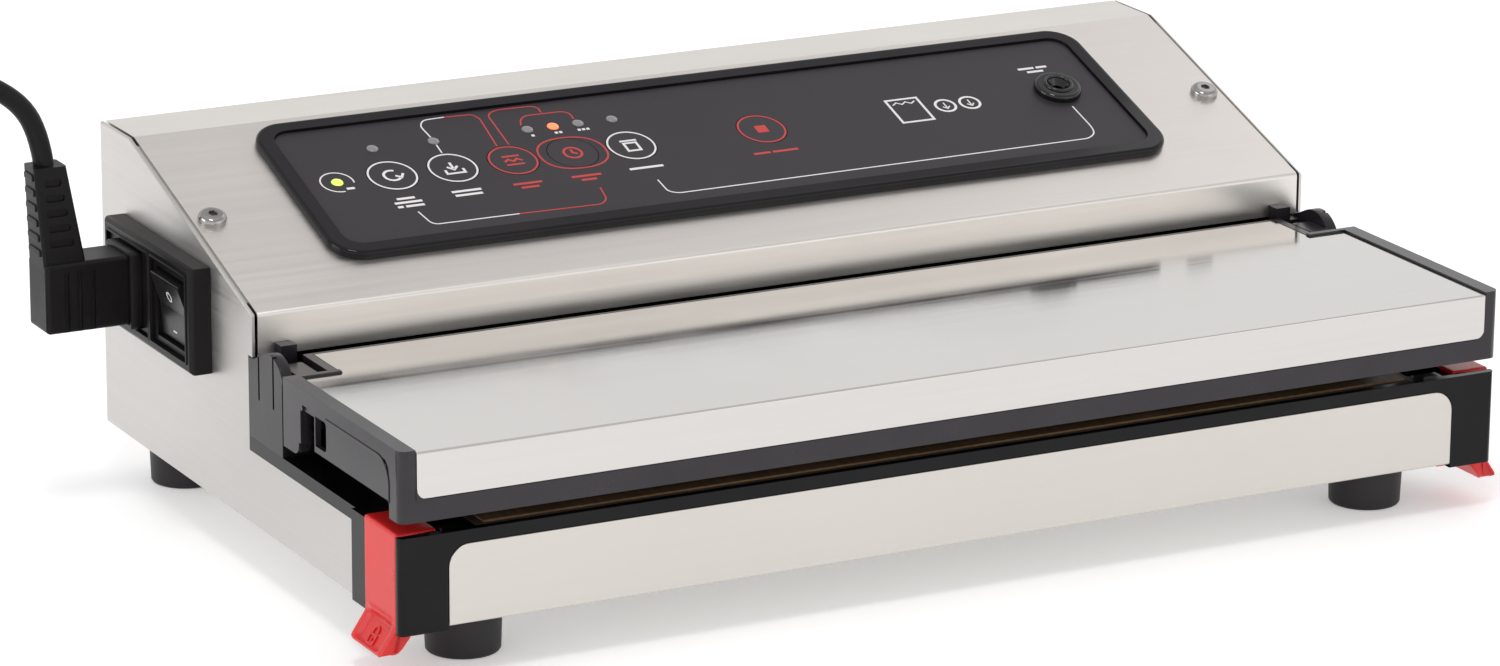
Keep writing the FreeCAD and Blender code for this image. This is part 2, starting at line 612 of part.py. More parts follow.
def lidCatch():
    # bent steel strip: foot under the lid's web, leg, tooth that points outwards
    y0 = catchY[0] + 1.5
    y1 = catchY[1] - 1.5
    legX = pocketInnerX - 2.0
    toothLow = latchTop + 0.2
    toothHigh = toothLow + 1.25
    seat = webTop - webThick
    leg = box(legX - catchStrip, legX, y0, y1, toothLow, seat)
    tooth = box(legX - catchStrip, latchNose - 0.8, y0, y1, toothLow, toothHigh)
    foot = box(legX, catchScrewX + 4.5, y0, y1, seat - catchStrip, seat)
    middle = (y0 + y1) / 2
    hole = rod((catchScrewX, middle, seat - 3), (catchScrewX, middle, seat + 1), 1.6)
    return fuse([leg, tooth, foot]).cut(hole)


rightCatch = lidCatch()
save("lid_catches", [mirrored(rightCatch), rightCatch])
catchScrews = []
for side in (-1, 1):
    screw = buttonScrew(2.6, 1.6, 1.48, 2.4, 0.9)
    screw.rotate(Vec(0, 0, 0), Vec(1, 0, 0), 180)
    screw.translate(Vec(side * catchScrewX, (catchY[0] + catchY[1]) / 2, webTop - webThick - catchStrip))
    catchScrews.append(screw)


# ---------------------------------------------------------------- latches
def latchLever():
    # right-hand lever: hook at the top, thumb tab that flares outwards at the bottom
    face = latchFace
    outline = [
        (face, 18.0), (latchFlare, 9.6), (latchFlare - 0.8, 8.6), (face - 0.6, 8.6),
        (face - 5.6, 15.0), (face - 5.6, 17.5), (face - 3.6, 20.0), (face - 3.6, 44.0),
        (latchNose + 2.0, latchTop - hookThick), (latchNose, latchTop - hookThick),
        (latchNose, latchTop), (face - 1.0, latchTop), (face, latchTop - 1.0)]
    body = prismY(outline, latchFrontY, latchRearY)
    # the lower front corners of the tab are rounded
    tabEdges = [e for e in body.Edges if abs(e.CenterOfMass.x - (face + latchFlare) / 2) < 0.1
                and abs(e.CenterOfMass.z - 13.8) < 0.1 and e.BoundBox.YLength < 0.01]
    body = body.makeFillet(2.0, tabEdges)
    lug = rod((latchPivotX, latchLugY[0], latchPivotZ), (latchPivotX, latchLugY[1], latchPivotZ), 3.2)
    arm = box(latchPivotX, face - 3.2, *latchLugY, latchPivotZ - 3.2, latchPivotZ + 3.2)
    heel = box(face - 13.7, face - 4.2, -110.0, -106.0, 13.0, 16.0)
    body = fuse([body, lug, arm, heel])
    # recess of the finger rest, bore of the pivot
    rest = box(face - 0.5, latchFlare + 2, latchFrontY + 3.2, latchRearY - 3.2, 9.9, 18.6)
    scoop = [(face - 0.6, 19.6), (latchFlare - 0.6, 11.4), (latchFlare + 3, 11.4), (latchFlare + 3, 19.6)]
    hollow = prismY(scoop, latchFrontY + 3.4, latchRearY - 3.4)
    bore = rod((latchPivotX, latchFrontY - 1, latchPivotZ), (latchPivotX, latchRearY + 1, latchPivotZ),
               latchPinRadius + 0.05)
    return cut(body, [hollow.common(rest), bore])


def latchSpring():
    # torsion spring beside the lug, wound close round the pin: the turns just bite into each other
    wire = 0.35
    turns = 5
    pitch = 1.9 * wire
    places = [latchLugY[1] + 2.3 * wire + turn * pitch for turn in range(turns)]
    return fuse([Part.makeTorus(latchPinRadius + 0.75, wire, Vec(latchPivotX, y, latchPivotZ), Vec(0, 1, 0))
                 for y in places])


rightLatch = latchLever()
save("latch_right", rightLatch)
save("latch_left", mirrored(rightLatch))
rightLatchPin = rod((latchPivotX, frontInner - 1.4, latchPivotZ), (latchPivotX, postFrontY + 5, latchPivotZ),
                    latchPinRadius)
save("latch_pins", [mirrored(rightLatchPin), rightLatchPin])
rightSpring = latchSpring()
save("latch_spring_right", rightSpring)
save("latch_spring_left", mirrored(rightSpring))


# ---------------------------------------------------------------- feet
def foot(x, y):
    body = Part.makeCone(footRadius, footFlange, floorZ, Vec(x, y, 0))
    body = body.makeFillet(0.8, [e for e in body.Edges if e.BoundBox.ZMax < 0.01])
    well = rod((x, y, -1), (x, y, 8), 5.0)
    hole = rod((x, y, 0), (x, y, floorZ + 1), footScrewRadius + 0.2)
    return cut(body, [well, hole])


footPlaces = [(side * footX[i], footY[i]) for i in (0, 1) for side in (-1, 1)]
footScrews = []
save("feet", [foot(x, y) for x, y in footPlaces])
for x, y in footPlaces:
    screw = buttonScrew(3.8, 2.4, footScrewRadius - 0.02, 18.0, 1.5)
    screw.rotate(Vec(0, 0, 0), Vec(1, 0, 0), 180)
    screw.translate(Vec(x, y, 8.0))
    footScrews.append(screw)
save("foot_screws", footScrews)
save("catch_screws", catchScrews)


# ---------------------------------------------------------------- control panel
keyRadius = 8.6
keyPlaces = {               # centre of each key across the panel, from the left end of the frame
    "key_automatic": -bezelHalf + 36.7,
    "key_vacuum": -bezelHalf + 58.5,
    "key_seal": -bezelHalf + 80.4,
    "key_seal_time": -bezelHalf + 102.3,
    "key_canister": -bezelHalf + 124.0,
    "key_stop": -bezelHalf + 173.0}
lightPlaces = [-bezelHalf + across for across in (36.7, 58.8, 93.2, 111.9, 124.5)]
sealTimeLightX = -bezelHalf + 102.6
powerLightX = -bezelHalf + 17.0
lightRadius = 2.0
portX = bezelHalf - 23.5
portRow = 64.0
portFlange = 8.3
portBore = 2.4
portStem = 5.0
boardTop = -10.0            # below the slope
boardThick = 1.6
switchTop = boardTop + 3.5
overlayTop = bezelFloor + overlayThick
postPlaces = [(u, s) for u in (-bezelHalf + 10, 0.0, bezelHalf - 46) for s in (35.0, 88.0)]


def keyHoles(extra, low, high):
    holes = [Part.makeCylinder(keyRadius + extra, high - low, Vec(u, keyRow, low)) for u in keyPlaces.values()]
    lights = [(u, lightRow) for u in lightPlaces] + [(sealTimeLightX, lightRow), (powerLightX, keyRow)]
    holes += [Part.makeCylinder(lightRadius + 0.05, high - low, Vec(u, s, low)) for u, s in lights]
    holes.append(Part.makeCylinder(portStem + 0.1, high - low, Vec(portX, portRow, low)))
    return holes


def makeBezel():
    outer = roundedBox(-bezelHalf, bezelHalf, bezelStart, bezelEnd, 0, bezelHeight, bezelRound)
    outer = outer.makeFillet(1.4, [e for e in outer.Edges if e.BoundBox.ZMin > bezelHeight - 0.01])
    tray = roundedBox(-bezelHalf + bezelRim, bezelHalf - bezelRim, bezelStart + bezelRim, bezelEnd - bezelRim,
                      bezelFloor, bezelHeight + 1, bezelRound - bezelRim + 1)
    skirt = roundedBox(-bezelHalf + 7.3, bezelHalf - 7.3, bezelStart + 5.3, bezelEnd - 5.3, -3.5, 0.2, 5.7)
    skirt = skirt.cut(roundedBox(-bezelHalf + 9, bezelHalf - 9, bezelStart + 7, bezelEnd - 7, -4, 0.0, 4))
    body = fuse([outer, skirt])
    posts = [Part.makeCylinder(3.0, boardTop * -1 + 0.2, Vec(u, s, boardTop)) for u, s in postPlaces]
    body = fuse([body] + posts)
    pilots = [Part.makeCylinder(1.2, 7.0, Vec(u, s, boardTop)) for u, s in postPlaces]
    return onSlope(cut(body, [tray] + keyHoles(keyFit, -4, bezelHeight + 1) + pilots))


def makeOverlay():
    plate = roundedBox(-bezelHalf + bezelRim + 0.2, bezelHalf - bezelRim - 0.2, bezelStart + bezelRim + 0.2,
                       bezelEnd - bezelRim - 0.2, bezelFloor, overlayTop, bezelRound - bezelRim + 0.8)
    return onSlope(cut(plate, keyHoles(keyFit, bezelFloor - 1, overlayTop + 1)))


def makeKey(u):
    # cap flush with the overlay, retaining flange under the panel floor, stem towards its switch
    cap = Part.makeCylinder(keyRadius, overlayTop + 0.8, Vec(u, keyRow, -0.8))
    flange = Part.makeCylinder(keyRadius + 0.9, 0.6, Vec(u, keyRow, -0.9))
    stem = Part.makeCylinder(2.0, -0.8 - (switchTop + 0.5 + keyTravel + 0.1),
                             Vec(u, keyRow, switchTop + 0.5 + keyTravel + 0.1))
    return onSlope(fuse([cap, flange, stem]))


save("control_bezel", makeBezel())
save("panel_overlay", makeOverlay())
for name, u in keyPlaces.items():
    save(name, makeKey(u))


def lens(u, s):
    low = boardTop
    body = Part.makeCylinder(lightRadius, overlayTop - low, Vec(u, s, low))
    return onSlope(body)


save("power_light", lens(powerLightX, keyRow))
save("seal_time_light", lens(sealTimeLightX, lightRow))
save("status_lights", [lens(u, lightRow) for u in lightPlaces])

board = box(-bezelHalf + 8, bezelHalf - 38, bezelStart + 9, bezelEnd - 9, boardTop - boardThick, boardTop)
board = board.cut([Part.makeCylinder(1.6, 4, Vec(u, s, boardTop - 3)) for u, s in postPlaces])
save("control_board", onSlope(board))
switches = []
for u in keyPlaces.values():
    case = box(u - 3, u + 3, keyRow - 3, keyRow + 3, boardTop, switchTop)
    button = Part.makeCylinder(1.6, 0.5, Vec(u, keyRow, switchTop))
    switches.append(onSlope(case.fuse(button).removeSplitter()))
save("key_switches", switches)
boardScrews = []
for u, s in postPlaces:
    screw = buttonScrew(2.5, 1.5, 1.18, 8.0, 0.9)
    screw.rotate(Vec(0, 0, 0), Vec(1, 0, 0), 180)
    screw.translate(Vec(u, s, boardTop - boardThick))
    boardScrews.append(onSlope(screw))
save("board_screws", boardScrews)

# vacuum hose port: collar on the panel, stem and barb below it
collar = Part.makeCylinder(portFlange, 2.6, Vec(portX, portRow, overlayTop))
collar = collar.makeFillet(1.3, [e for e in collar.Edges if e.BoundBox.ZMin > overlayTop + 2])
stem = Part.makeCylinder(portStem, 6.0, Vec(portX, portRow, overlayTop - 6.0 + 0.1))
barb = Part.makeCylinder(3.2, 9.0, Vec(portX, portRow, overlayTop - 14.5))
portBody = fuse([collar, stem, barb])
portBody = cut(portBody, [Part.makeCylinder(portBore, 30, Vec(portX, portRow, -20)),
                          Part.makeCone(portBore, 4.2, 2.2, Vec(portX, portRow, overlayTop + 0.5))])
save("hose_port", onSlope(portBody))


# ---------------------------------------------------------------- mains inlet, left side
panelFace = -panelWidth / 2
inletFace = panelFace - inletProud
cellLow = inletLow + cellWall
cellHigh = inletHigh - cellWall
inletDepth = 14.0           # behind the panel
socketFront = cellSplitY + cellWall / 2
rockerRear = cellSplitY - cellWall / 2
rockerAxisX = inletFace + 4.0
rockerAxisZ = (inletLow + inletHigh) / 2
rockerTilt = 11.0


def makeInletFrame():
    rim = box(inletFace, panelFace, inletFrontY, inletRearY, inletLow, inletHigh)
    rim = rim.makeFillet(1.8, edgesAlong(rim, "y", lambda c: c.x < inletFace + 0.1)
                         + edgesAlong(rim, "z", lambda c: c.x < inletFace + 0.1))
    body = box(panelFace - 0.2, panelFace + inletDepth, inletFrontY + 2.5, inletRearY - 2.5, inletLow + 2.5,
               inletHigh - 2.5)
    whole = fuse([rim, body])
    tools = [
        box(inletFace - 1, panelFace + inletDepth - 1.6, inletFrontY + 2.5 + 1.4, rockerRear, cellLow + 1.6,
            cellHigh - 1.6),
        box(inletFace - 1, panelFace + inletDepth + 1, socketFront, inletRearY - 2.5 - 1.4, cellLow + 1.6,
            cellHigh - 1.6)]
    return cut(whole, tools)


save("inlet_frame", makeInletFrame())
rockerFrontY = inletFrontY + 3.9
rockerY0 = rockerFrontY + 3.2
rockerY1 = rockerRear - 3.2
rockerHalf = (cellHigh - cellLow) / 2 - 4.6


def makeRockerHousing():
    # switch body in the front cell, with the window that the rocker turns in
    fit = 0.15
    outer = box(inletFace + 1.2, panelFace + inletDepth - 1.6, rockerFrontY + fit, rockerRear - fit,
                cellLow + 1.6 + fit, cellHigh - 1.6 - fit)
    window = box(inletFace, inletFace + 12.5, rockerY0 - 0.5, rockerY1 + 0.5, rockerAxisZ - rockerHalf - 0.7,
                 rockerAxisZ + rockerHalf + 0.7)
    pins = [rod((rockerAxisX, rockerY0 - 2.2, rockerAxisZ), (rockerAxisX, rockerY0 + 1.2, rockerAxisZ), 1.2),
            rod((rockerAxisX, rockerY1 - 1.2, rockerAxisZ), (rockerAxisX, rockerY1 + 2.2, rockerAxisZ), 1.2)]
    return fuse([outer.cut(window)] + pins)


def makeRocker():
    # two-winged rocker, drawn level and tilted so that its lower wing is pressed in
    front = inletFace + 0.6
    points = [
        (front, rockerAxisZ - rockerHalf), (front + 1.4, rockerAxisZ), (front, rockerAxisZ + rockerHalf),
        (front + 6.0, rockerAxisZ + rockerHalf), (front + 7.4, rockerAxisZ),
        (front + 6.0, rockerAxisZ - rockerHalf)]
    body = prismY(points, rockerY0, rockerY1)
    body = body.makeFillet(0.5, edgesAlong(body, "y", lambda c: c.x < front + 0.1))
    bore = rod((rockerAxisX, rockerY0 - 1, rockerAxisZ), (rockerAxisX, rockerY1 + 1, rockerAxisZ), 1.25)
    body = body.cut(bore)
    body.rotate(Vec(rockerAxisX, 0, rockerAxisZ), Vec(0, 1, 0), -rockerTilt)
    return body


save("rocker_housing", makeRockerHousing())
save("power_rocker", makeRocker())

# appliance socket in the rear cell, with its three blades
socketRearY = inletRearY - 3.9
socketY = (socketFront + socketRearY) / 2
plugHalfY = 8.1
plugHalfZ = 11.7
socketWall = box(inletFace + 0.8, panelFace + inletDepth, socketFront + 0.15, socketRearY - 0.15,
                 cellLow + 1.75, cellHigh - 1.75)
socketWell = box(inletFace, panelFace + 9.0, socketY - plugHalfY - 0.3, socketY + plugHalfY + 0.3,
                 rockerAxisZ - plugHalfZ - 0.3, rockerAxisZ + plugHalfZ + 0.3)
save("inlet_socket", socketWall.cut(socketWell))
bladeDepth = panelFace + 9.0
bladePlaces = ((-2.0, -7.0), (-2.0, 7.0), (2.4, 0.0))
bladeLength = 12.0
blades = [box(bladeDepth - bladeLength, bladeDepth, socketY + dy - 2, socketY + dy + 2, rockerAxisZ + dz - 1,
              rockerAxisZ + dz + 1) for dy, dz in bladePlaces]
save("inlet_blades", blades)


# ---------------------------------------------------------------- pump set
pumpY = 62.0
pumpZ = 52.0
motorX = (10.0, 70.0)
motorRadius = 18.0
shaftRadius = 2.5
headLong = 36.0
headHalfY = 18.0
crankRadius = 13.0
plateZ = 24.0               # bracket plate on its rubber mounts
plateThick = 1.5
nippleTop = 86.0
headNippleX = (motorX[0] - headLong / 2, motorX[1] + headLong / 2)
mountX = (motorX[0] - headLong + 5, motorX[1] + headLong - 5)
mountPlaces = [(x, y) for x in mountX for y in (pumpY - 17, pumpY + 17)]

can = rod((motorX[0], pumpY, pumpZ), (motorX[1], pumpY, pumpZ), motorRadius)
can = cut(can, [
    rod((motorX[0] + 2, pumpY, pumpZ), (motorX[1] - 2, pumpY, pumpZ), motorRadius - 2),
    rod((motorX[0] - 1, pumpY, pumpZ), (motorX[1] + 1, pumpY, pumpZ), shaftRadius + 0.05)])
save("pump_motor", can)

rotorPieces = [
    rod((motorX[0] - headLong + 8, pumpY, pumpZ), (motorX[1] + headLong - 8, pumpY, pumpZ), shaftRadius),
    rod((motorX[0] + 10, pumpY, pumpZ), (motorX[1] - 10, pumpY, pumpZ), motorRadius - 5)]
for x in (motorX[0] - 20, motorX[1] + 12):
    rotorPieces.append(rod((x, pumpY, pumpZ + 3), (x + 8, pumpY, pumpZ + 3), 7.0))
save("pump_rotor", fuse(rotorPieces))


def pumpHead(x0, x1, motorSide):
    # crank case with the cylinder block and its nipple on top
    case = roundedBox(x0, x1, pumpY - headHalfY, pumpY + headHalfY, plateZ + plateThick, pumpZ + 18, 3, "x")
    block = box(x0 + 8, x1 - 8, pumpY - 10, pumpY + 10, pumpZ + 17, pumpZ + 26)
    middle = (x0 + x1) / 2
    nipple = rod((middle, pumpY, pumpZ + 25), (middle, pumpY, nippleTop), nippleRadius)
    closed = 4.0
    a = x0 - 1 if motorSide < 0 else x0 + closed
    b = x1 + 1 if motorSide > 0 else x1 - closed
    tools = [rod((a, pumpY, pumpZ), (b, pumpY, pumpZ), crankRadius),
             rod((middle, pumpY, pumpZ + 5), (middle, pumpY, nippleTop - 14), 6.0),
             rod((middle, pumpY, pumpZ + 5), (middle, pumpY, nippleTop + 1), nippleBore)]
    return cut(fuse([case, block, nipple]), tools)


save("pump_heads", [pumpHead(motorX[0] - headLong, motorX[0], 1),
                    pumpHead(motorX[1], motorX[1] + headLong, -1)])

plate = box(motorX[0] - headLong, motorX[1] + headLong, pumpY - 22, pumpY + 22, plateZ, plateZ + plateThick)
cradles = [box(x, x + 8, pumpY - 12, pumpY + 12, plateZ, pumpZ - 8) for x in (motorX[0] + 8, motorX[1] - 16)]
bed = rod((motorX[0], pumpY, pumpZ), (motorX[1], pumpY, pumpZ), motorRadius + 0.05)
save("pump_bracket", cut(fuse([plate] + cradles), [bed]))
save("pump_mounts", [rod((x, y, floorZ + sheet), (x, y, plateZ), 5.0) for x, y in mountPlaces])

# release valve in front of the pump
valveX = suctionX
valveY = (10.0, 32.0)
valveTop = 46.0
valveNipples = (valveX - 7, valveX + 7)
valvePieces = [
    box(valveX - 14, valveX + 14, valveY[0], valveY[1], floorZ + sheet, valveTop),
    rod((valveX, valveY[0] - 9, suctionZ), (valveX, valveY[0] + 1, suctionZ), nippleRadius)]
for x in valveNipples:
    valvePieces.append(rod((x, 21, valveTop - 1), (x, 21, valveTop + 9), nippleRadius))
valveBody = fuse(valvePieces)
bores = [rod((valveX, valveY[0] - 10, suctionZ), (valveX, 21, suctionZ), nippleBore)]
bores += [rod((x, 21, suctionZ), (x, 21, valveTop + 10), nippleBore) for x in valveNipples]
save("vacuum_valve", cut(valveBody, bores))


# ---------------------------------------------------------------- bent tubes: hoses and the mains cord
def routeRadii(points):
    # largest even arc at each corner: 0.45 of the shorter run over the tangent of half the turn
    radii = []
    for before, corner, after in zip(points, points[1:], points[2:]):
        turn = (corner - before).getAngle(after - corner)
        shorter = min((corner - before).Length, (after - corner).Length)
        radii.append(0.45 * shorter / math.tan(turn / 2))
    return radii


def routeWire(points):
    # straight runs joined by tangent arcs
    edges = []
    start = points[0]
    for before, corner, after, radius in zip(points, points[1:], points[2:], routeRadii(points)):
        inward = (before - corner).normalize()
        outward = (after - corner).normalize()
        turn = math.pi - inward.getAngle(outward)
        reach = radius * math.tan(turn / 2)
        a = corner + inward * reach
        b = corner + outward * reach
        centreWay = (inward + outward).normalize()
        middle = corner + centreWay * (math.hypot(radius, reach) - radius)
        edges.append(Part.makeLine(start, a))
        edges.append(Part.Arc(a, middle, b).toShape())
        start = b
    edges.append(Part.makeLine(start, points[-1]))
    return Part.Wire(edges)


def tube(places, radius, bore=0.0):
    points = [Vec(*p) for p in places]
    path = routeWire(points)
    way = points[1] - points[0]
    outer = path.makePipeShell([Part.Wire(Part.makeCircle(radius, points[0], way))], True, False)
    if bore:
        inner = path.makePipeShell([Part.Wire(Part.makeCircle(bore, points[0], way))], True, False)
        outer = outer.cut(inner)
    section = math.pi * (radius ** 2 - bore ** 2)
    print("  tube length", round(path.Length, 1), "volume against section times length",
          round(outer.Volume / (section * path.Length), 4))
    return outer, path.Length


def slopePlace(u, s, n):
    return (u, lipY + s * math.cos(slopeAngle) - n * math.sin(slopeAngle),
            lipTop + s * math.sin(slopeAngle) + n * math.cos(slopeAngle))


hoseBore = hoseRadius - hoseWall
sleeve = 7.0                # length of hose over a nipple
chamberHose = tube([(suctionX, nippleEnd - sleeve, suctionZ), (suctionX, valveY[0] - 9 + sleeve, suctionZ)],
                   hoseRadius, hoseBore)[0]
headHose = tube([
    (headNippleX[0], pumpY, nippleTop - 6), (headNippleX[0], pumpY - 1, nippleTop + 4),
    (headNippleX[0] + 9, pumpY - 8, nippleTop + 2), (headNippleX[0] + 12, pumpY - 22, nippleTop - 12),
    (valveNipples[0] - 24, 30, valveTop + 24), (valveNipples[0] - 4, 22, valveTop + 22),
    (valveNipples[0], 21, valveTop + 9 - sleeve)], hoseRadius, hoseBore)[0]
portEnd = slopePlace(portX, portRow, overlayTop - 14.5 + sleeve)
portLow = slopePlace(portX, portRow, overlayTop - 26)
portHose = tube([
    portEnd, portLow, (portX - 16, 34, valveTop + 16), (valveNipples[1] + 24, 26, valveTop + 26),
    (valveNipples[1] + 4, 21, valveTop + 23), (valveNipples[1], 21, valveTop + 9 - sleeve)],
    hoseRadius, hoseBore)[0]
linkHose = tube([
    (headNippleX[1], pumpY, nippleTop - 6), (headNippleX[1] - 1, pumpY, nippleTop + 3.5),
    (headNippleX[1] - 14, pumpY + 2, nippleTop + 4.5), (headNippleX[1] - 26, pumpY + 14, nippleTop - 4),
    (headNippleX[1] - 30, pumpY + 30, nippleTop - 12)], hoseRadius, hoseBore)[0]
save("vacuum_hoses", [chamberHose, headHose, portHose, linkHose])

# power board on its standoffs, with relay, capacitor and heat sink; transformer beside it
boardX = (-168.0, -92.0)
boardY = (18.0, 104.0)
powerBoardZ = 25.0
standoffs = [rod((x, y, floorZ + sheet), (x, y, powerBoardZ), 3.0)
             for x in (boardX[0] + 6, boardX[1] - 6) for y in (boardY[0] + 6, boardY[1] - 6)]
boardBody = fuse([
    box(boardX[0], boardX[1], boardY[0], boardY[1], powerBoardZ, powerBoardZ + boardThick),
    box(boardX[0] + 8, boardX[0] + 28, boardY[0] + 14, boardY[0] + 30, powerBoardZ, powerBoardZ + 17),
    rod((boardX[0] + 50, boardY[0] + 22, powerBoardZ), (boardX[0] + 50, boardY[0] + 22, powerBoardZ + 26), 8.0),
    box(boardX[0] + 12, boardX[0] + 60, boardY[0] + 58, boardY[0] + 62, powerBoardZ, powerBoardZ + 30)])
save("power_board", [boardBody] + standoffs)
core = box(-82, -38, 70, 108, floorZ + sheet, floorZ + sheet + 34)
bobbin = roundedBox(-76, -44, 62, 116, floorZ + sheet + 6, floorZ + sheet + 28, 3, "y")
save("transformer", core.fuse(bobbin).removeSplitter())


# ---------------------------------------------------------------- mains cord
plugInX = inletFace + 13.5
connectorOut = inletFace - 31.5
connectorY = socketY
connectorZ = rockerAxisZ
bootTopX = inletFace - 28.2
bootTopZ = 119.8
bootFootX = inletFace - 24.0
cordExit = (bootTopX, connectorY, bootTopZ)


def loft(sections):
    # solid through rectangular sections given as (centre, half x, half y), stacked along Z
    wires = []
    for (x, y, z), hx, hy in sections:
        corners = [Vec(x + i * hx, y + j * hy, z) for i, j in ((-1, -1), (1, -1), (1, 1), (-1, 1))]
        wires.append(Part.makePolygon(corners + corners[:1]))
    return Part.makeLoft(wires, True, True)


def makeConnector():
    # right-angled connector: nose in the socket, body outside, ribbed boot rising to the cord
    nose = box(inletFace - 0.5, plugInX, connectorY - plugHalfY, connectorY + plugHalfY,
               connectorZ - plugHalfZ, connectorZ + plugHalfZ)
    body = roundedBox(connectorOut, inletFace - 0.4, connectorY - plugHalfY, connectorY + plugHalfY,
                      connectorZ - plugHalfZ, connectorZ + plugHalfZ, 1.2, "x")
    body = body.makeFillet(1.5, [e for e in body.Edges if e.BoundBox.XMax < connectorOut + 0.001])
    boot = loft([((bootFootX, connectorY, connectorZ + 8), 7.4, 7.2),
                 ((bootTopX + 0.4, connectorY, bootTopZ), 5.6, 4.8)])
    boot = boot.makeFillet(1.0, [e for e in boot.Edges if e.BoundBox.ZLength > 20])
    pieces = [nose, body, boot]
    tools = []
    # finger grooves across the boot and upright grooves on the body
    for step in range(5):
        z = connectorZ + plugHalfZ + 6.5 + step * 5.0
        centre = bootFootX - 3.8 * (z - connectorZ - 8) / (bootTopZ - connectorZ - 8)
        wide = 4.2 - 0.3 * step
        groove = roundedBox(centre - wide, centre + wide, connectorY - 9, connectorY - 5.9 + 0.36 * step,
                            z - 1.2, z + 1.2, 1.1, "y")
        tools.append(groove)
        tools.append(groove.mirror(Vec(0, connectorY, 0), Vec(0, 1, 0)))
    for step in range(3):
        x = connectorOut + 7.0 + step * 4.5
        groove = roundedBox(x - 0.9, x + 0.9, connectorY - plugHalfY - 1, connectorY - plugHalfY + 0.7,
                            connectorZ - plugHalfZ - 1, connectorZ + plugHalfZ - 3, 0.6, "y")
        tools.append(groove)
    for dy, dz in bladePlaces:
        slotY, slotZ = connectorY + dy, connectorZ + dz
        tools.append(box(bladeDepth - bladeLength - 0.3, plugInX + 1, slotY - 2.15, slotY + 2.15,
                         slotZ - 1.15, slotZ + 1.15))
    return cut(fuse(pieces), tools)


save("cord_connector", makeConnector())

coilCentre = (-354.0, 118.0)
coilOuter = coilTurnRadius + coilSpread / 2
coilInner = coilTurnRadius - coilSpread / 2
coilJoin = 10.2             # height at which the cord comes in, on the upper layer
cordRoute = [
    cordExit, (-232.2, 80.1, 131.4), (-239.8, 80.1, 143.0), (-255.5, 80.3, 151.6), (-277.5, 80.2, 152.6),
    (-297.5, 79.4, 141.8), (-309.5, 78.2, 121.0), (-314.5, 76.4, 96.5), (-316.5, 75.6, 70.0),
    (-317.2, 78.6, 44.5), (-316.6, 88.4, 23.6), (-316.0, 106.0, 12.0),
    (coilCentre[0] + coilTurnRadius, coilCentre[1] + 6.0, coilJoin)]
cordRadii = routeRadii([Vec(*p) for p in cordRoute])
print("  cord radii in diameters", [round(r / (2 * cordRadius), 1) for r in cordRadii])
cordTube, cordRun = tube(cordRoute, cordRadius)
save("power_cord", cordTube)

coil = Part.makeCylinder(coilOuter, coilHeight, Vec(coilCentre[0], coilCentre[1], 0))
coil = coil.cut(Part.makeCylinder(coilInner, coilHeight, Vec(coilCentre[0], coilCentre[1], 0)))
save("cord_coil", coil.makeFillet(3.2, [e for e in coil.Edges if e.Curve.TypeId == "Part::GeomCircle"]))


def makePlug():
    # mains plug on the table: boot, round body with flats, two pins
    x = coilCentre[0] - coilTurnRadius - 4.0
    y = coilCentre[1] - 26.0
    z = 16.5
    boot = Part.makeCone(4.2, 6.5, 24.0, Vec(x, y, 5.2), Vec(0, -1, 0.18))
    body = rod((x, y - 16, z), (x, y - 50, z), 18.5)
    body = body.common(box(x - 18.5, x + 18.5, y - 60, y, 0.0, 33.0))
    body = body.makeFillet(2.0, [e for e in body.Edges if e.BoundBox.YMin > y - 16.01])
    neck = Part.makeCone(7.5, 14.0, 14.0, Vec(x, y - 6, z - 3.0), Vec(0, -1, 0.2))
    pins = [rod((x + dx, y - 49, z), (x + dx, y - 69, z), 2.4) for dx in (-9.5, 9.5)]
    return fuse([boot, neck, body] + pins)


save("mains_plug", makePlug())
print("  cord length outside the coil", round(cordRun, 1))
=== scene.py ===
import bpy
import json
import math
import numpy as np
from mathutils import Matrix, Vector


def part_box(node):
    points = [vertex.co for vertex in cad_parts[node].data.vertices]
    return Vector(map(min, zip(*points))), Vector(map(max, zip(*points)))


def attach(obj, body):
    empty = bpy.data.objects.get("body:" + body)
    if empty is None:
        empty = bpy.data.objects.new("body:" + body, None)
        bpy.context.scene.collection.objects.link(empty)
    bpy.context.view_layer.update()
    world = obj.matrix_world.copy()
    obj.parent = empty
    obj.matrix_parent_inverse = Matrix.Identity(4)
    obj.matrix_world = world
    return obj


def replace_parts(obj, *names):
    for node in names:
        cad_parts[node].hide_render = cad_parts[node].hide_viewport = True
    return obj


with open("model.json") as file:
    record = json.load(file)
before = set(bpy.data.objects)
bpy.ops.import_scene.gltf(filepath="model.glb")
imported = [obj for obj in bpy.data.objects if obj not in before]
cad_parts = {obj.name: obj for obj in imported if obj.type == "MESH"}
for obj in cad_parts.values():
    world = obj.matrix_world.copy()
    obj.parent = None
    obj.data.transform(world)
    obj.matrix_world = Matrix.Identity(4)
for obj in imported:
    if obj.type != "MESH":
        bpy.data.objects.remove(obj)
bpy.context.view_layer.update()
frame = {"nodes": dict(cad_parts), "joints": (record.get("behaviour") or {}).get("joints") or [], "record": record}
nodes = frame["nodes"]
mm = 0.001
print("frame loaded:", len(nodes), "nodes")


# turns faces so that they point outwards: a closed shell's signed volume is the sum of a . (b x c) / 6
def outward(points, faces):
    fans = [(f[0], f[i], f[i + 1]) for f in faces for i in range(1, len(f) - 1)]
    a, b, c = (points[np.array(fans)[:, k]] for k in range(3))
    if np.einsum("ij,ij->i", a, np.cross(b, c)).sum() < 0:
        return [f[::-1] for f in faces]
    return faces


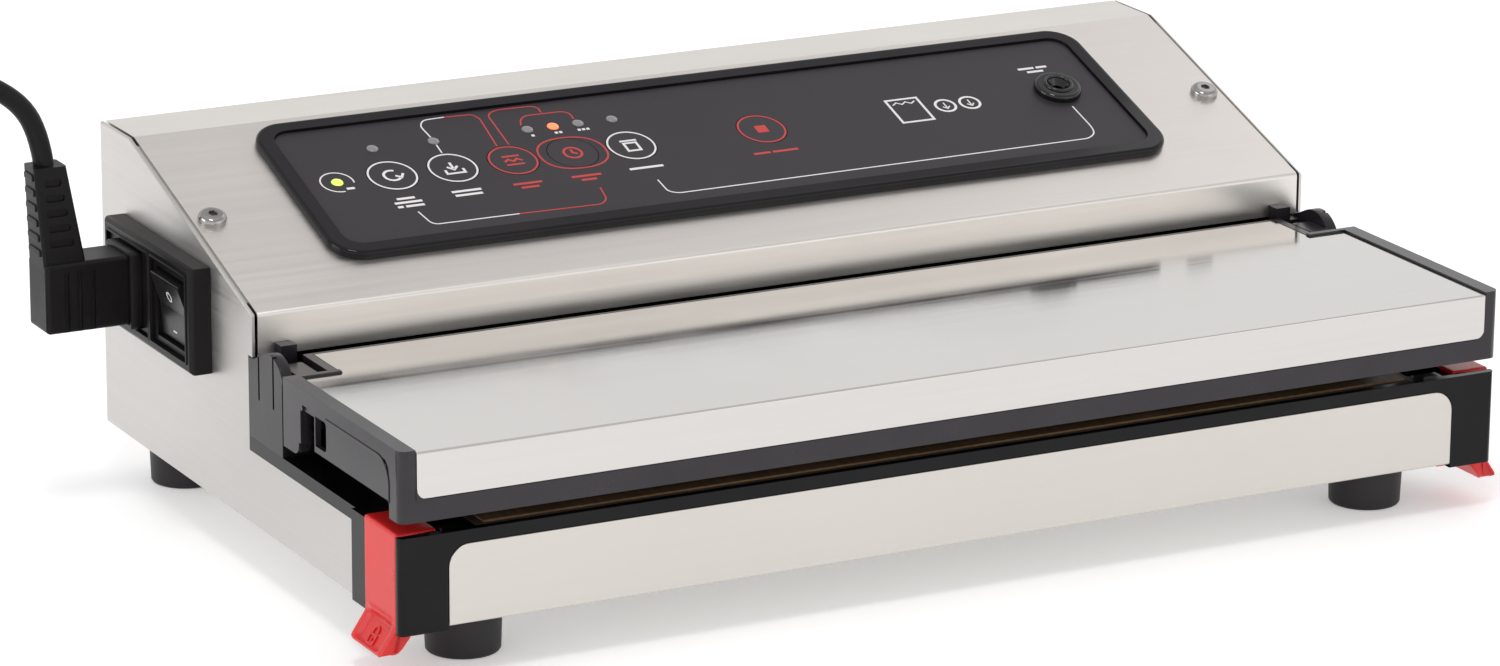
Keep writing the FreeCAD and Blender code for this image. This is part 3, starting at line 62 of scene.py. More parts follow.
# neighbours on a grid: (i, j), (i + 1, j), (i + 1, j + 1), (i, j + 1), wrapped round where the grid closes
def gridFaces(rows, columns, closeRows=False, first=0):
    i = np.arange(rows if closeRows else rows - 1)[:, None]
    j = np.arange(columns)[None, :]
    up = (i + 1) % rows
    side = (j + 1) % columns
    corners = [i * columns + j, up * columns + j, up * columns + side, i * columns + side]
    return (first + np.stack(corners, -1).reshape(-1, 4)).tolist()


# a shell through closed loops of points, capped at both ends unless the loops come round again
def shell(loops, closed=False):
    rows, columns = loops.shape[:2]
    points = loops.reshape(-1, 3)
    faces = gridFaces(rows, columns, closed)
    if not closed:
        faces.append(list(range(columns))[::-1])
        faces.append(list(range((rows - 1) * columns, rows * columns)))
    return points, outward(points, faces)


# several shells as one: each one's faces count on from the points before it
def together(shells):
    points, faces = [], []
    for p, f in shells:
        first = sum(len(x) for x in points)
        points.append(p)
        faces += [[k + first for k in face] for face in f]
    return np.vstack(points), faces


# four quarter arcs: corner centre plus radius times (cos t, sin t)
def roundedOutline(halfX, halfY, radius, perCorner=7):
    angle = np.radians(np.arange(4)[:, None] * 90 + np.linspace(0, 90, perCorner)[None, :])
    signX = np.array([1, -1, -1, 1])[:, None]
    signY = np.array([1, 1, -1, -1])[:, None]
    x = signX * (halfX - radius) + radius * np.cos(angle)
    y = signY * (halfY - radius) + radius * np.sin(angle)
    return np.stack([x, y], -1).reshape(-1, 2)


# rounded outline drawn in by edge (1 - sin t) where its height is edge (1 - cos t) from an end
def roundedBlock(halfX, halfY, low, high, corner, edge, steps=5):
    t = np.linspace(0, math.pi / 2, steps)
    inset = np.concatenate([edge * (1 - np.sin(t)), edge * (1 - np.sin(t[::-1]))])
    height = np.concatenate([low + edge * (1 - np.cos(t)), high - edge * (1 - np.cos(t[::-1]))])
    loops = []
    for i, z in zip(inset, height):
        outline = roundedOutline(halfX - i, halfY - i, max(corner - i, 0.02 * mm))
        loops.append(np.column_stack([outline, np.full(len(outline), z)]))
    return shell(np.array(loops))


# profile of (radius, height) turned about Z: (r cos a, r sin a, z)
def turned(profile, steps=48):
    profile = np.array(profile)
    a = np.linspace(0, 2 * math.pi, steps, endpoint=False)
    x = profile[:, :1] * np.cos(a)
    y = profile[:, :1] * np.sin(a)
    return shell(np.stack([x, y, np.repeat(profile[:, 1:], steps, 1)], -1))


# flat line on a plane: a section of width by thickness carried along (u, v), mitred at its corners
def flatLine(path, width, low, high, closed=False):
    path = np.array(path, float)
    ahead = np.roll(path, -1, 0) - path
    behind = path - np.roll(path, 1, 0)
    if not closed:
        ahead[-1] = behind[-1]
        behind[0] = ahead[0]
    ahead /= np.linalg.norm(ahead, axis=1)[:, None]
    behind /= np.linalg.norm(behind, axis=1)[:, None]
    along = ahead + behind
    along /= np.linalg.norm(along, axis=1)[:, None]
    across = np.column_stack([-along[:, 1], along[:, 0]])
    reach = width / 2 / np.clip((along * ahead).sum(1), 0.5, 1)[:, None]
    left, right = path + across * reach, path - across * reach
    section = [np.column_stack([edge, np.full(len(path), z)])
               for edge, z in ((left, low), (right, low), (right, high), (left, high))]
    return shell(np.stack(section, 1), closed)


# closed section carried round a rounded rectangle: its points are (inset, height)
def ringSweep(halfX, halfY, corner, section, perCorner=7):
    loops = []
    for inset, height in section:
        outline = roundedOutline(halfX - inset, halfY - inset, max(corner - inset, 0.05), perCorner)
        loops.append(np.column_stack([outline, np.full(len(outline), height)]))
    return shell(np.array(loops), True)


# shape in mm on its own axes carried to the object: origin + x across + y up + z (across cross up)
def placed(made, origin=(0, 0, 0), across=(1, 0, 0), up=(0, 1, 0)):
    points, faces = made
    across, up = (np.array(v, float) / np.linalg.norm(v) for v in (across, up))
    moved = (points @ np.array([across, up, np.cross(across, up)]) + origin) * mm
    return moved, outward(moved, faces)


# lowest and highest corner of a node, in mm
def cornersOf(name):
    return [np.array(corner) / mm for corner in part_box(name)]


# corner points of a node's mesh, in mm
def pointsOf(name):
    return np.array([v.co for v in nodes[name].data.vertices]) / mm


# circle or arc: centre plus radius times (cos t, sin t)
def arc(u, v, radius, start=0, end=360, steps=40):
    t = np.radians(np.linspace(start, end, steps, endpoint=abs(end - start) < 359))
    return np.column_stack([u + radius * np.cos(t), v + radius * np.sin(t)])


# corner b between a and c eased by the blend (1-t)^2 start + 2t(1-t) b + t^2 stop, whose ends are a radius
# from b, or the side's length over share where that is less
def easedCorner(a, b, c, radius, share, steps):
    t = np.linspace(0, 1, steps)[:, None]
    near = min(radius, np.linalg.norm(a - b) / share, np.linalg.norm(c - b) / share)
    start = b + (a - b) / np.linalg.norm(a - b) * near
    stop = b + (c - b) / np.linalg.norm(c - b) * near
    return (1 - t) ** 2 * start + 2 * t * (1 - t) * b + t ** 2 * stop


# object put in the scene
def shown(name, data):
    made = bpy.data.objects.new(name, data)
    bpy.context.scene.collection.objects.link(made)
    return made


# makes the mesh, shades it smooth up to a crease angle, and gives it its body and a finish: the one given, or else
# the one of its slot
def piece(name, made, body, slotName, material=None, crease=38):
    points, faces = made
    mesh = bpy.data.meshes.new(name)
    mesh.from_pydata(points.tolist(), [], faces)
    mesh.polygons.foreach_set("use_smooth", np.ones(len(faces), bool))
    mesh.set_sharp_from_angle(angle=math.radians(crease))
    mesh.materials.append(material or finishes[slotName])
    made = shown(name, mesh)
    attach(made, body)
    return made


# puts plain values on sockets, and links those that come from another node
def fill(tree, inputs, sockets):
    for socket, value in sockets.items():
        target = inputs[socket.replace("_", " ")]
        if isinstance(value, bpy.types.NodeSocket):
            tree.links.new(value, target)
        else:
            target.default_value = value


# shader node of a kind with its sockets filled
def newNode(tree, kind, **sockets):
    node = tree.nodes.new("ShaderNode" + kind)
    fill(tree, node.inputs, sockets)
    return node


# noise drawn out along one way: the coordinates are scaled before the noise is read
def noiseNode(tree, stretch, detail=3.0):
    where = newNode(tree, "TexCoord").outputs["Object"]
    drawn = newNode(tree, "Mapping", Vector=where, Scale=stretch).outputs["Vector"]
    return newNode(tree, "TexNoise", Vector=drawn, Scale=1.0, Detail=detail, Roughness=0.55).outputs["Fac"]


# straight-line remap of a value from start..end to low..high
def remap(tree, value, low, high, start=0.3, end=0.7):
    return newNode(tree, "MapRange", Value=value, From_Min=start, From_Max=end, To_Min=low,
                   To_Max=high).outputs["Result"]


# sum of two values
def added(tree, first, second):
    node = newNode(tree, "Math")
    node.operation = "ADD"
    tree.links.new(first, node.inputs[0])
    tree.links.new(second, node.inputs[1])
    return node.outputs[0]


# colour that runs between two tones with a value
def toned(tree, value, dark, light):
    node = newNode(tree, "Mix")
    node.data_type = "RGBA"
    fill(tree, node.inputs, {"A": (*dark, 1), "B": (*light, 1), "Factor": value})
    return node.outputs["Result"]


# darker and lighter tone of a colour: times 1 less the spread, and times 1 plus the spread, plus a lift
def spreadTones(tone, spread, lift=0.0):
    return [c * (1 - spread) for c in tone], [min(c * (1 + spread) + lift, 1) for c in tone]


# surface relief from a value, height in metres
def relief(tree, value, height, strength):
    return newNode(tree, "Bump", Height=value, Strength=strength, Distance=height).outputs["Normal"]


# new material, its nodes and its shader's sockets
def newFinish(name):
    made = bpy.data.materials.new(name)
    made.use_nodes = True
    return made, made.node_tree, made.node_tree.nodes["Principled BSDF"].inputs


# brushed metal: long thin streaks in tone, gloss and height, with broad soft patches under them
def brushedMetal(name, tone, along="x", gloss=(0.22, 0.36), spread=0.06, streak=1.0, depth=0.012):
    made, tree, sockets = newFinish(name)
    axis = "xyz".index(along)
    fine = [2600 / streak] * 3
    fine[axis] = 22
    broad = [420 / streak] * 3
    broad[axis] = 7
    fineStreaks = noiseNode(tree, fine, 2.0)
    broadStreaks = noiseNode(tree, broad, 3.0)
    patches = noiseNode(tree, (14, 14, 14), 3.0)
    mixed = added(tree, remap(tree, fineStreaks, 0, 0.5), remap(tree, broadStreaks, 0, 0.5))
    rough = added(tree, remap(tree, broadStreaks, *gloss), remap(tree, patches, -0.025, 0.035))
    fill(tree, sockets, {"Metallic": 1.0, "Base Color": toned(tree, mixed, *spreadTones(tone, spread)),
                         "Roughness": rough, "Normal": relief(tree, fineStreaks, depth * mm, 0.5)})
    return made


# moulded plastic or rubber: fine orange-peel grain, soft patches of tone and gloss
def moulded(name, tone, gloss, grain=0.25, height=0.02, spread=0.18, sheen=0.5, **others):
    made, tree, sockets = newFinish(name)
    peel = noiseNode(tree, [1 / (grain * mm)] * 3, 2.0)
    patches = noiseNode(tree, (35, 35, 35), 4.0)
    shade = toned(tree, remap(tree, patches, 0, 1), *spreadTones(tone, spread, 0.002))
    rough = added(tree, remap(tree, patches, *gloss), remap(tree, peel, -0.02, 0.02))
    fill(tree, sockets, {"Base Color": shade, "Roughness": rough, "Specular IOR Level": sheen,
                         "Normal": relief(tree, peel, height * mm, 0.4), **others})
    return made


# woven cloth tape: two crossed waves lift and shade the threads
def woven(name, dark, light, pitch, gloss):
    made, tree, sockets = newFinish(name)
    where = newNode(tree, "TexCoord").outputs["Object"]
    waves = []
    for direction in ("X", "Y"):
        wave = newNode(tree, "TexWave", Vector=where, Scale=1 / pitch / 20, Distortion=0.6)
        wave.bands_direction = direction
        waves.append(wave.outputs["Fac"])
    threads = added(tree, *waves)
    stain = noiseNode(tree, (40, 160, 160), 4.0)
    shade = added(tree, remap(tree, threads, 0, 0.35, 0, 2), remap(tree, stain, 0, 0.65))
    fill(tree, sockets, {"Roughness": gloss, "Base Color": toned(tree, shade, dark, light),
                         "Normal": relief(tree, threads, 0.03 * mm, 0.6)})
    return made


# lamp lens: tinted glassy cap over a glow that mottles slightly
def lens(name, tone, glow, strength):
    made, tree, sockets = newFinish(name)
    facets = noiseNode(tree, (900, 900, 900), 2.0)
    fill(tree, sockets, {"Roughness": 0.12, "Emission Strength": strength, "Coat Weight": 0.6,
                         "Base Color": toned(tree, facets, [c * 0.8 for c in tone], tone),
                         "Emission Color": toned(tree, facets, [c * 0.75 for c in glow], glow)})
    return made


finishes = {
    "steel_cover": brushedMetal("coverSteel", (0.74, 0.71, 0.675), "x", (0.32, 0.42), 0.035),
    "steel_panel": brushedMetal("sideSteel", (0.60, 0.585, 0.565), "y", (0.36, 0.48), 0.03),
    "steel_facing": brushedMetal("facingSteel", (0.61, 0.583, 0.547), "x", (0.32, 0.42), 0.015),
    "steel_lid": brushedMetal("lidSteel", (0.615, 0.595, 0.575), "x", (0.075, 0.12), 0.02, 1.0, 0.004),
    "screw_bright": brushedMetal("screwSteel", (0.36, 0.35, 0.34), "z", (0.08, 0.14)),
    "screw_zinc": brushedMetal("zincSteel", (0.50, 0.50, 0.49), "z", (0.25, 0.40)),
    "pin_steel": brushedMetal("groundSteel", (0.52, 0.52, 0.52), "y", (0.20, 0.30)),
    "catch_steel": brushedMetal("stripSteel", (0.50, 0.50, 0.50), "y", (0.28, 0.40)),
    "spring_steel": brushedMetal("springSteel", (0.40, 0.40, 0.40), "y", (0.25, 0.38)),
    "nichrome": brushedMetal("heaterBand", (0.45, 0.42, 0.40), "x", (0.30, 0.45), 0.12),
    "blade_brass": brushedMetal("bladeBrass", (0.72, 0.62, 0.40), "x", (0.18, 0.28)),
    "motor_steel": brushedMetal("motorCan", (0.48, 0.48, 0.48), "x", (0.26, 0.38)),
    "pump_cast": moulded("castAlloy", (0.42, 0.42, 0.43), (0.42, 0.58), 0.5, 0.08, 0.1, Metallic=0.9),
    "transformer_iron": moulded("varnishedIron", (0.09, 0.07, 0.05), (0.35, 0.5), 0.6, 0.06, 0.2,
                                Metallic=0.5),
    "frame_black": moulded("frameBlack", (0.0025, 0.002, 0.003), (0.12, 0.18), 0.35, 0.008, sheen=0.2),
    "lid_black": moulded("lidBlack", (0.016, 0.013, 0.017), (0.20, 0.28), 0.35, 0.010, sheen=0.42),
    "bracket_black": moulded("bracketBlack", (0.013, 0.011, 0.0135), (0.26, 0.36), 0.3, 0.012, sheen=0.36),
    "bezel_gloss": moulded("bezelGloss", (0.006, 0.005, 0.0065), (0.05, 0.09), 0.5, 0.003, sheen=0.22),
    "overlay_film": moulded("overlayFilm", (0.032, 0.0275, 0.034), (0.38, 0.46), 0.2, 0.010, 0.06,
                            sheen=0.22),
    "key_film": moulded("keyFilm", (0.032, 0.0275, 0.034), (0.36, 0.44), 0.2, 0.010, 0.06, sheen=0.24),
    "inlet_black": moulded("inletBlack", (0.007, 0.006, 0.007), (0.30, 0.40), 0.3, 0.015, sheen=0.16),
    "rocker_black": moulded("rockerBlack", (0.010, 0.009, 0.010), (0.26, 0.34), 0.35, 0.008, sheen=0.3),
    "port_black": moulded("portBlack", (0.006, 0.006, 0.006), (0.04, 0.08), 0.35, 0.004),
    "switch_black": moulded("switchBlack", (0.03, 0.03, 0.03), (0.40, 0.5)),
    "valve_black": moulded("valveBlack", (0.03, 0.03, 0.03), (0.40, 0.5)),
    "bar_laminate": moulded("barLaminate", (0.06, 0.040, 0.026), (0.45, 0.55), 0.4, 0.02),
    "board_green": moulded("boardGreen", (0.012, 0.085, 0.030), (0.28, 0.4), 0.8, 0.02, 0.25),
    "latch_red": moulded("latchRed", (0.60, 0.016, 0.014), (0.26, 0.34), 0.4, 0.010, 0.07,
                         Subsurface_Weight=0.06, Subsurface_Scale=0.002, sheen=0.4),
    "foot_rubber": moulded("footRubber", (0.014, 0.012, 0.014), (0.46, 0.58), 0.3, 0.03, sheen=0.35),
    "gasket_rubber": moulded("gasketFoam", (0.014, 0.013, 0.013), (0.68, 0.82), 0.45, 0.12),
    "silicone_grey": moulded("pressSilicone", (0.075, 0.072, 0.070), (0.48, 0.6), 0.4, 0.04),
    "hose_silicone": moulded("hoseSilicone", (0.55, 0.53, 0.48), (0.3, 0.42), 0.5, 0.02, 0.05,
                             Transmission_Weight=0.25),
    "cord_black": moulded("cordBlack", (0.006, 0.005, 0.006), (0.34, 0.46), 0.35, 0.015, sheen=0.16),
    "ptfe_tape": woven("sealTape", (0.10, 0.062, 0.030), (0.30, 0.19, 0.10), 0.6 * mm, 0.42),
    "light_green": lens("greenLens", (0.36, 0.55, 0.08), (0.60, 0.92, 0.10), 1.3),
    "light_orange": lens("orangeLens", (0.9, 0.20, 0.08), (1.0, 0.16, 0.05), 1.5),
    "light_clear": lens("clearLens", (0.22, 0.21, 0.21), (0.2, 0.2, 0.2), 0.1)}
printWhite = moulded("printWhite", (0.78, 0.76, 0.76), (0.4, 0.5), 0.2, 0.004, 0.04)
printRed = moulded("printRed", (0.52, 0.035, 0.030), (0.4, 0.5), 0.2, 0.004, 0.04)
for part in frame["record"]["subparts"]:
    for place in nodes[part["node"]].material_slots:
        place.material = finishes[part["material_slot"]]
print("finishes made:", len(finishes) + 2)


cameraSet = {"place": (-0.93585, -1.75406, 0.64331), "azimuth": -27.69, "elevation": 16.51, "roll": 0.38,
             "lens": 150.54}


# camera axes: back from azimuth and elevation, right square to it and level, up square to both; the roll
# turns right and up about back
def makeCamera(given):
    az, el, roll = (math.radians(given[k]) for k in ("azimuth", "elevation", "roll"))
    back = Vector((math.sin(az) * math.cos(el), -math.cos(az) * math.cos(el), math.sin(el)))
    right = (-back).cross(Vector((0, 0, 1))).normalized()
    up = right.cross(-back)
    turnedRight = right * math.cos(roll) + up * math.sin(roll)
    turnedUp = up * math.cos(roll) - right * math.sin(roll)
    lens = bpy.data.cameras.new("productCamera")
    lens.lens = given["lens"]
    lens.sensor_width = 36
    lens.clip_end = 20
    made = shown("productCamera", lens)
    axes = Matrix((turnedRight, turnedUp, back)).transposed().to_4x4()
    made.matrix_world = Matrix.Translation(Vector(given["place"])) @ axes
    bpy.context.scene.camera = made


# soft box: a rectangular lamp at a place, turned towards a point
def softBox(name, place, target, size, power, tint):
    lamp = bpy.data.lights.new(name, "AREA")
    lamp.shape = "RECTANGLE"
    lamp.size, lamp.size_y = size
    lamp.energy = power
    lamp.color = tint
    way = Vector(target) - Vector(place)
    turn = way.to_track_quat("-Z", "Y").to_matrix().to_4x4()
    shown(name, lamp).matrix_world = Matrix.Translation(place) @ turn


# place, target, size, power and tint of each lamp; the air's colour where its direction rises by so much
studioSet = {
    "lamps": {"keyBox": ((-0.5, -0.8, 2.2), (0, 0, 0.05), (0.55, 0.45), 10, (1, 1, 1)),
              "sideBox": ((-1.9, 0.1, 0.7), (0, 0, 0.05), (1.0, 0.8), 7, (1, 1, 1)),
              "frontBox": ((1.3, -2.4, 0.9), (0, 0, 0.09), (2.0, 0.9), 3.6, (1, 0.97, 0.93)),
              "farBox": ((1.6, 0.9, 1.9), (0.2, 0.05, 0.05), (0.9, 0.9), 1.6, (1, 1, 1))},
    "air": ((0.35, (1.0, 1.0, 1.0)), (0.72, (0.62, 0.60, 0.61)), (1.0, (0.86, 0.86, 0.86))),
    "floorReach": 6.0, "floorGlow": 0.28, "floorTones": ((0.90, 0.90, 0.90), (0.93, 0.93, 0.93))}


# air whose colour runs with the rise of the direction, lamps, and a square sheet of pale paper for a floor
def makeStudio(given):
    world = bpy.data.worlds.new("studioAir")
    world.use_nodes = True
    tree = world.node_tree
    where = newNode(tree, "TexCoord").outputs["Generated"]
    height = newNode(tree, "SeparateXYZ", Vector=where).outputs["Z"]
    ramp = newNode(tree, "ValToRGB", Fac=height)
    stops = ramp.color_ramp.elements
    while len(stops) < len(given["air"]):
        stops.new(0.5)
    for stop, (level, colour) in zip(stops, given["air"]):
        stop.position = level
        stop.color = (*colour, 1)
    fill(tree, tree.nodes["Background"].inputs, {"Color": ramp.outputs["Color"]})
    bpy.context.scene.world = world
    bpy.context.scene.view_settings.view_transform = "Standard"
    for name, (place, target, size, power, tint) in given["lamps"].items():
        softBox(name, place, target, size, power, tint)
    mesh = bpy.data.meshes.new("studioFloor")
    reach = given["floorReach"]
    mesh.from_pydata([(-reach, -reach, 0), (reach, -reach, 0), (reach, reach, 0), (-reach, reach, 0)],
                     [], [(0, 1, 2, 3)])
    made, tree, sockets = newFinish("floorPaper")
    paper = toned(tree, noiseNode(tree, (60, 60, 60), 4.0), *given["floorTones"])
    fill(tree, sockets, {"Roughness": 0.7, "Emission Strength": given["floorGlow"], "Base Color": paper,
                         "Emission Color": (1, 1, 1, 1)})
    mesh.materials.append(made)
    shown("studioFloor", mesh)


makeCamera(cameraSet)
makeStudio(studioSet)
print("camera, lights and floor in place")


cordSet = {"diameter": 6.8 * mm, "length": 1.5, "coilMiddle": (-354 * mm, 118 * mm), "innerTurn": 31 * mm,
           "turnStep": 7.0 * mm, "lowLayer": 3.45 * mm, "highLayer": 10.3 * mm, "pointsPerTurn": 16,
           "tieAngle": 60, "tieLift": 1.1 * mm, "tieWidth": 6.0, "tieThick": 0.8, "tieRound": 3.6,
           "plugEnd": [(-397.8, 112.0, 3.6), (-396.6, 103.0, 4.2), (-396.0, 91.0, 5.2)]}
cordRoute = [(-230.6, 80.1, 119.8), (-232.2, 80.1, 131.4), (-239.8, 80.1, 143.0), (-255.5, 80.3, 151.6),
             (-277.5, 80.2, 152.6), (-297.5, 79.4, 141.8), (-309.5, 78.2, 121.0), (-314.5, 76.4, 96.5),
             (-316.5, 75.6, 70.0), (-317.2, 78.6, 44.5), (-314.6, 86.4, 24.0), (-311.0, 99.0, 13.2)]


# easy step from 0 to 1 between two angles: 3 s^2 - 2 s^3
def easy(angle, start, end):
    s = np.clip((angle - start) / (end - start), 0, 1)
    return s * s * (3 - 2 * s)


# coil: three turns on the upper layer going inwards, then three on the lower one going outwards;
# each change of place is one easy step of radius or height, and all lift a little over the tie; the radius is
# divided by the cosine of half a step, as the spline runs inside its points
def coilPoints(given):
    count = given["pointsPerTurn"]
    angle = np.arange(0, 1980, 360 / count)
    step = given["turnStep"]
    radius = given["innerTurn"] + step * (2 - easy(angle, 280, 318) - easy(angle, 640, 678)
                                             + easy(angle, 1300, 1340) + easy(angle, 1655, 1695))
    radius = radius / math.cos(math.pi / count)
    height = given["highLayer"] + (given["lowLayer"] - given["highLayer"]) * easy(angle, 920, 990)
    height = height + given["tieLift"] * np.exp(-((angle % 360 - given["tieAngle"]) / 30) ** 2)
    turn = np.radians(angle)
    x = given["coilMiddle"][0] + radius * np.cos(turn)
    y = given["coilMiddle"][1] + radius * np.sin(turn)
    return np.column_stack([x, y, height])


# the cord's line: a quadratic spline whose control points are the route, the coil's turns and the plug's end
def makeCord(given):
    plugEnd = np.array(given["plugEnd"]) * mm
    points = np.vstack([np.array(cordRoute) * mm, coilPoints(given), plugEnd])
    curve = bpy.data.curves.new("mainsCord", "CURVE")
    curve.dimensions = "3D"
    curve.bevel_depth = given["diameter"] / 2
    curve.bevel_resolution = 5
    curve.resolution_u = 6
    curve.use_fill_caps = True
    spline = curve.splines.new("NURBS")
    spline.points.add(len(points) - 1)
    spline.points.foreach_set("co", np.column_stack([points, np.ones(len(points))]).ravel())
    spline.order_u = 3
    spline.use_endpoint_u = True
    curve.materials.append(finishes["cord_black"])
    made = shown("mains_cord", curve)
    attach(made, "base")
    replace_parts(made, "power_cord", "cord_coil")
    return made, points


# strap round all the turns at one place: a flat section carried round a rounded rectangle
def makeTie(given):
    thick, half = given["tieThick"], given["tieWidth"] / 2
    halfAcross = (2 * given["turnStep"] + given["diameter"]) / mm / 2 + thick + 0.15
    tall = (given["highLayer"] + given["diameter"] / 2 + given["tieLift"]) / mm + thick + 0.1
    section = [(0, -half + 0.2), (0.2, -half), (thick - 0.2, -half), (thick, -half + 0.2),
               (thick, half - 0.2), (thick - 0.2, half), (0.2, half), (0, half - 0.2)]
    turn = math.radians(given["tieAngle"])
    radial = np.array([math.cos(turn), math.sin(turn), 0])
    middle = np.array([*given["coilMiddle"], 0]) / mm
    middle += radial * (given["innerTurn"] + given["turnStep"]) / mm + np.array([0, 0, tall / 2 + 0.05])
    strap = ringSweep(halfAcross, tall / 2, given["tieRound"], section)
    buckle = roundedBlock(2.6, half + 0.8, 0, 1.1, 0.8, 0.3)
    outer = placed(buckle, middle + radial * (halfAcross - 0.1), (0, 0, 1), np.cross(radial, (0, 0, 1)))
    return together([placed(strap, middle, radial, (0, 0, 1)), outer])


gripSet = {"bars": 6, "firstZ": 91.5, "pitch": 5.0, "lean": 0.0565, "halfLong": 5.0, "shorter": 0.25,
           "halfTall": 1.2, "proud": 0.55}


# grip bars across the outer face of the connector's boot, which leans out evenly from its foot to its top
def makeGrips(given):
    low, high = cornersOf("cord_connector")
    middleY = (low[1] + high[1]) / 2
    bars = []
    for step in range(given["bars"]):
        z = given["firstZ"] + step * given["pitch"]
        lean = (high[2] - z) * given["lean"]
        halfLong = given["halfLong"] - given["shorter"] * step
        bar = roundedBlock(halfLong, given["halfTall"], -0.4, given["proud"], 0.9, 0.35)
        bars.append(placed(bar, (low[0] + lean, middleY, z), (0, -1, 0), (0, 0, 1)))
    return together(bars)


cord, cordPoints = makeCord(cordSet)
coilTie = piece("coil_tie", makeTie(cordSet), "base", "switch_black")
grips = piece("connector_grips", makeGrips(gripSet), "base", "cord_black")
print("cord laid")


# width of the rounding in mm; a node's loose corners are merged and its flat faces joined before the bevel
edgeRounding = {
    "lid_frame": 0.9, "base_frame": 0.6, "hinge_bracket_left": 0.4, "hinge_bracket_right": 0.4,
    "inlet_frame": 0.35, "rocker_housing": 0.3, "inlet_socket": 0.3, "control_bezel": 0.2,
    "panel_overlay": 0.15, "lid_facing": 0.2, "front_facing": 0.2, "top_cover": 0.25, "chassis": 0.2,
    "cord_connector": 0.35, "mains_plug": 0.5}
for name, width in edgeRounding.items():
    weld = nodes[name].modifiers.new("mergeCorners", "WELD")
    weld.merge_threshold = 0.002 * mm
    flat = nodes[name].modifiers.new("joinFlats", "DECIMATE")
    flat.decimate_type = "DISSOLVE"
    flat.angle_limit = math.radians(0.6)
    bevel = nodes[name].modifiers.new("roundEdges", "BEVEL")
    bevel.width = width * mm
    bevel.segments = 3
    bevel.limit_method = "ANGLE"
    bevel.angle_limit = math.radians(34)
    bevel.harden_normals = True
print("edges rounded on", len(edgeRounding), "nodes")


# the control panel faces against the keys' travel
panelNormal = -np.array(next(j for j in frame["joints"] if j["name"] == "key_stop_press")["axis"])
panelUp = np.array([0.0, panelNormal[2], -panelNormal[1]])
overlayPoints = pointsOf("panel_overlay")
panelTop = (overlayPoints @ panelNormal).max()
panelMiddle = ((overlayPoints @ panelUp).max() + (overlayPoints @ panelUp).min()) / 2


# carries millimetres across, up and off the panel into the object's frame
def onPanel(made):
    return placed(made, panelUp * panelMiddle + panelNormal * panelTop, (1, 0, 0), panelUp)


ink = {"low": -0.02, "high": 0.05, "line": 0.5, "ring": 0.65, "sign": 0.9, "caption": 1.15, "capGap": 0.9,
       "keyRing": 8.15, "ovalHalf": (12.0, 9.3), "ovalPower": 0.86, "rowStep": 2.3}


# a printed stroke: a flat line just proud of the panel
def inkLine(path, width=None, closed=False):
    return flatLine(path, width or ink["line"], ink["low"], ink["high"], closed)


# open path whose inner corners are eased
def easedPath(corners, radius=2.6):
    corners = np.array(corners, float)
    bends = [easedCorner(a, b, c, radius, 2.1, 6) for a, b, c in zip(corners, corners[1:], corners[2:])]
    return np.vstack([corners[:1], *bends, corners[-1:]])


# row of short bars that stands for a line of small print, centred on (u, v)
def barRow(u, v, lengths, gap=ink["capGap"]):
    total = sum(lengths) + gap * (len(lengths) - 1)
    start = u - total / 2
    bars = []
    for length in lengths:
        bars.append(inkLine([(start, v), (start + length, v)], ink["caption"]))
        start += length + gap
    return bars


# middle of a CAD node in the panel's own millimetres
def panelSpot(name):
    middle = sum(cornersOf(name)) / 2
    return middle[0], middle @ panelUp - panelMiddle


keyNames = ["automatic", "vacuum", "seal", "seal_time", "canister", "stop"]
keySpot = {name: panelSpot("key_" + name) for name in keyNames}
rowV = keySpot["automatic"][1]
lampV = panelSpot("status_lights")[1]
powerU = panelSpot("power_light")[0]
portU = panelSpot("hose_port")[0]
whitePaths = [
    [(-119.7, -19.6), (-118.0, -27.8), (-87.1, -28.0)],
    [(-97.2, lampV + 2.3), (-97.9, 28.6), (-95.6, 31.8), (-87.7, 32.1)],
    [(-97.2, lampV - 2.3), (-97.4, rowV + 9.2)],
    [(-32.4, -19.1), (-32.0, -26.3), (-28.9, -28.0), (128.6, -27.3), (132.1, -24.8), (133.0, -20.8),
     (132.8, -7.3)]]
redPaths = [
    [(-87.1, -28.0), (-57.3, -28.6), (-54.5, -26.1), (-53.7, -19.2)],
    [(-87.7, 32.1), (-77.7, 31.7), (-76.0, 28.9), (-77.4, rowV + 9.2)],
    [(-73.0, rowV + 9.2), (-72.5, 29.9), (-70.4, 31.9), (-67.3, 32.6), (-55.3, 32.3), (-53.5, 30.7),
     (-53.8, 27.9)],
    [(-63.9, lampV + 2.8), (-62.6, 25.4), (-59.8, 27.2), (-46.4, 27.0), (-44.3, 25.4), (-44.4, lampV + 2.8)]]
whitePrint = [inkLine(easedPath(path)) for path in whitePaths]
redPrint = [inkLine(easedPath(path)) for path in redPaths]
whitePrint.append(inkLine(arc(powerU, rowV, 5.65, -12, 276)))
whitePrint += barRow(powerU + 3.0, rowV - 4.3, [2.8])
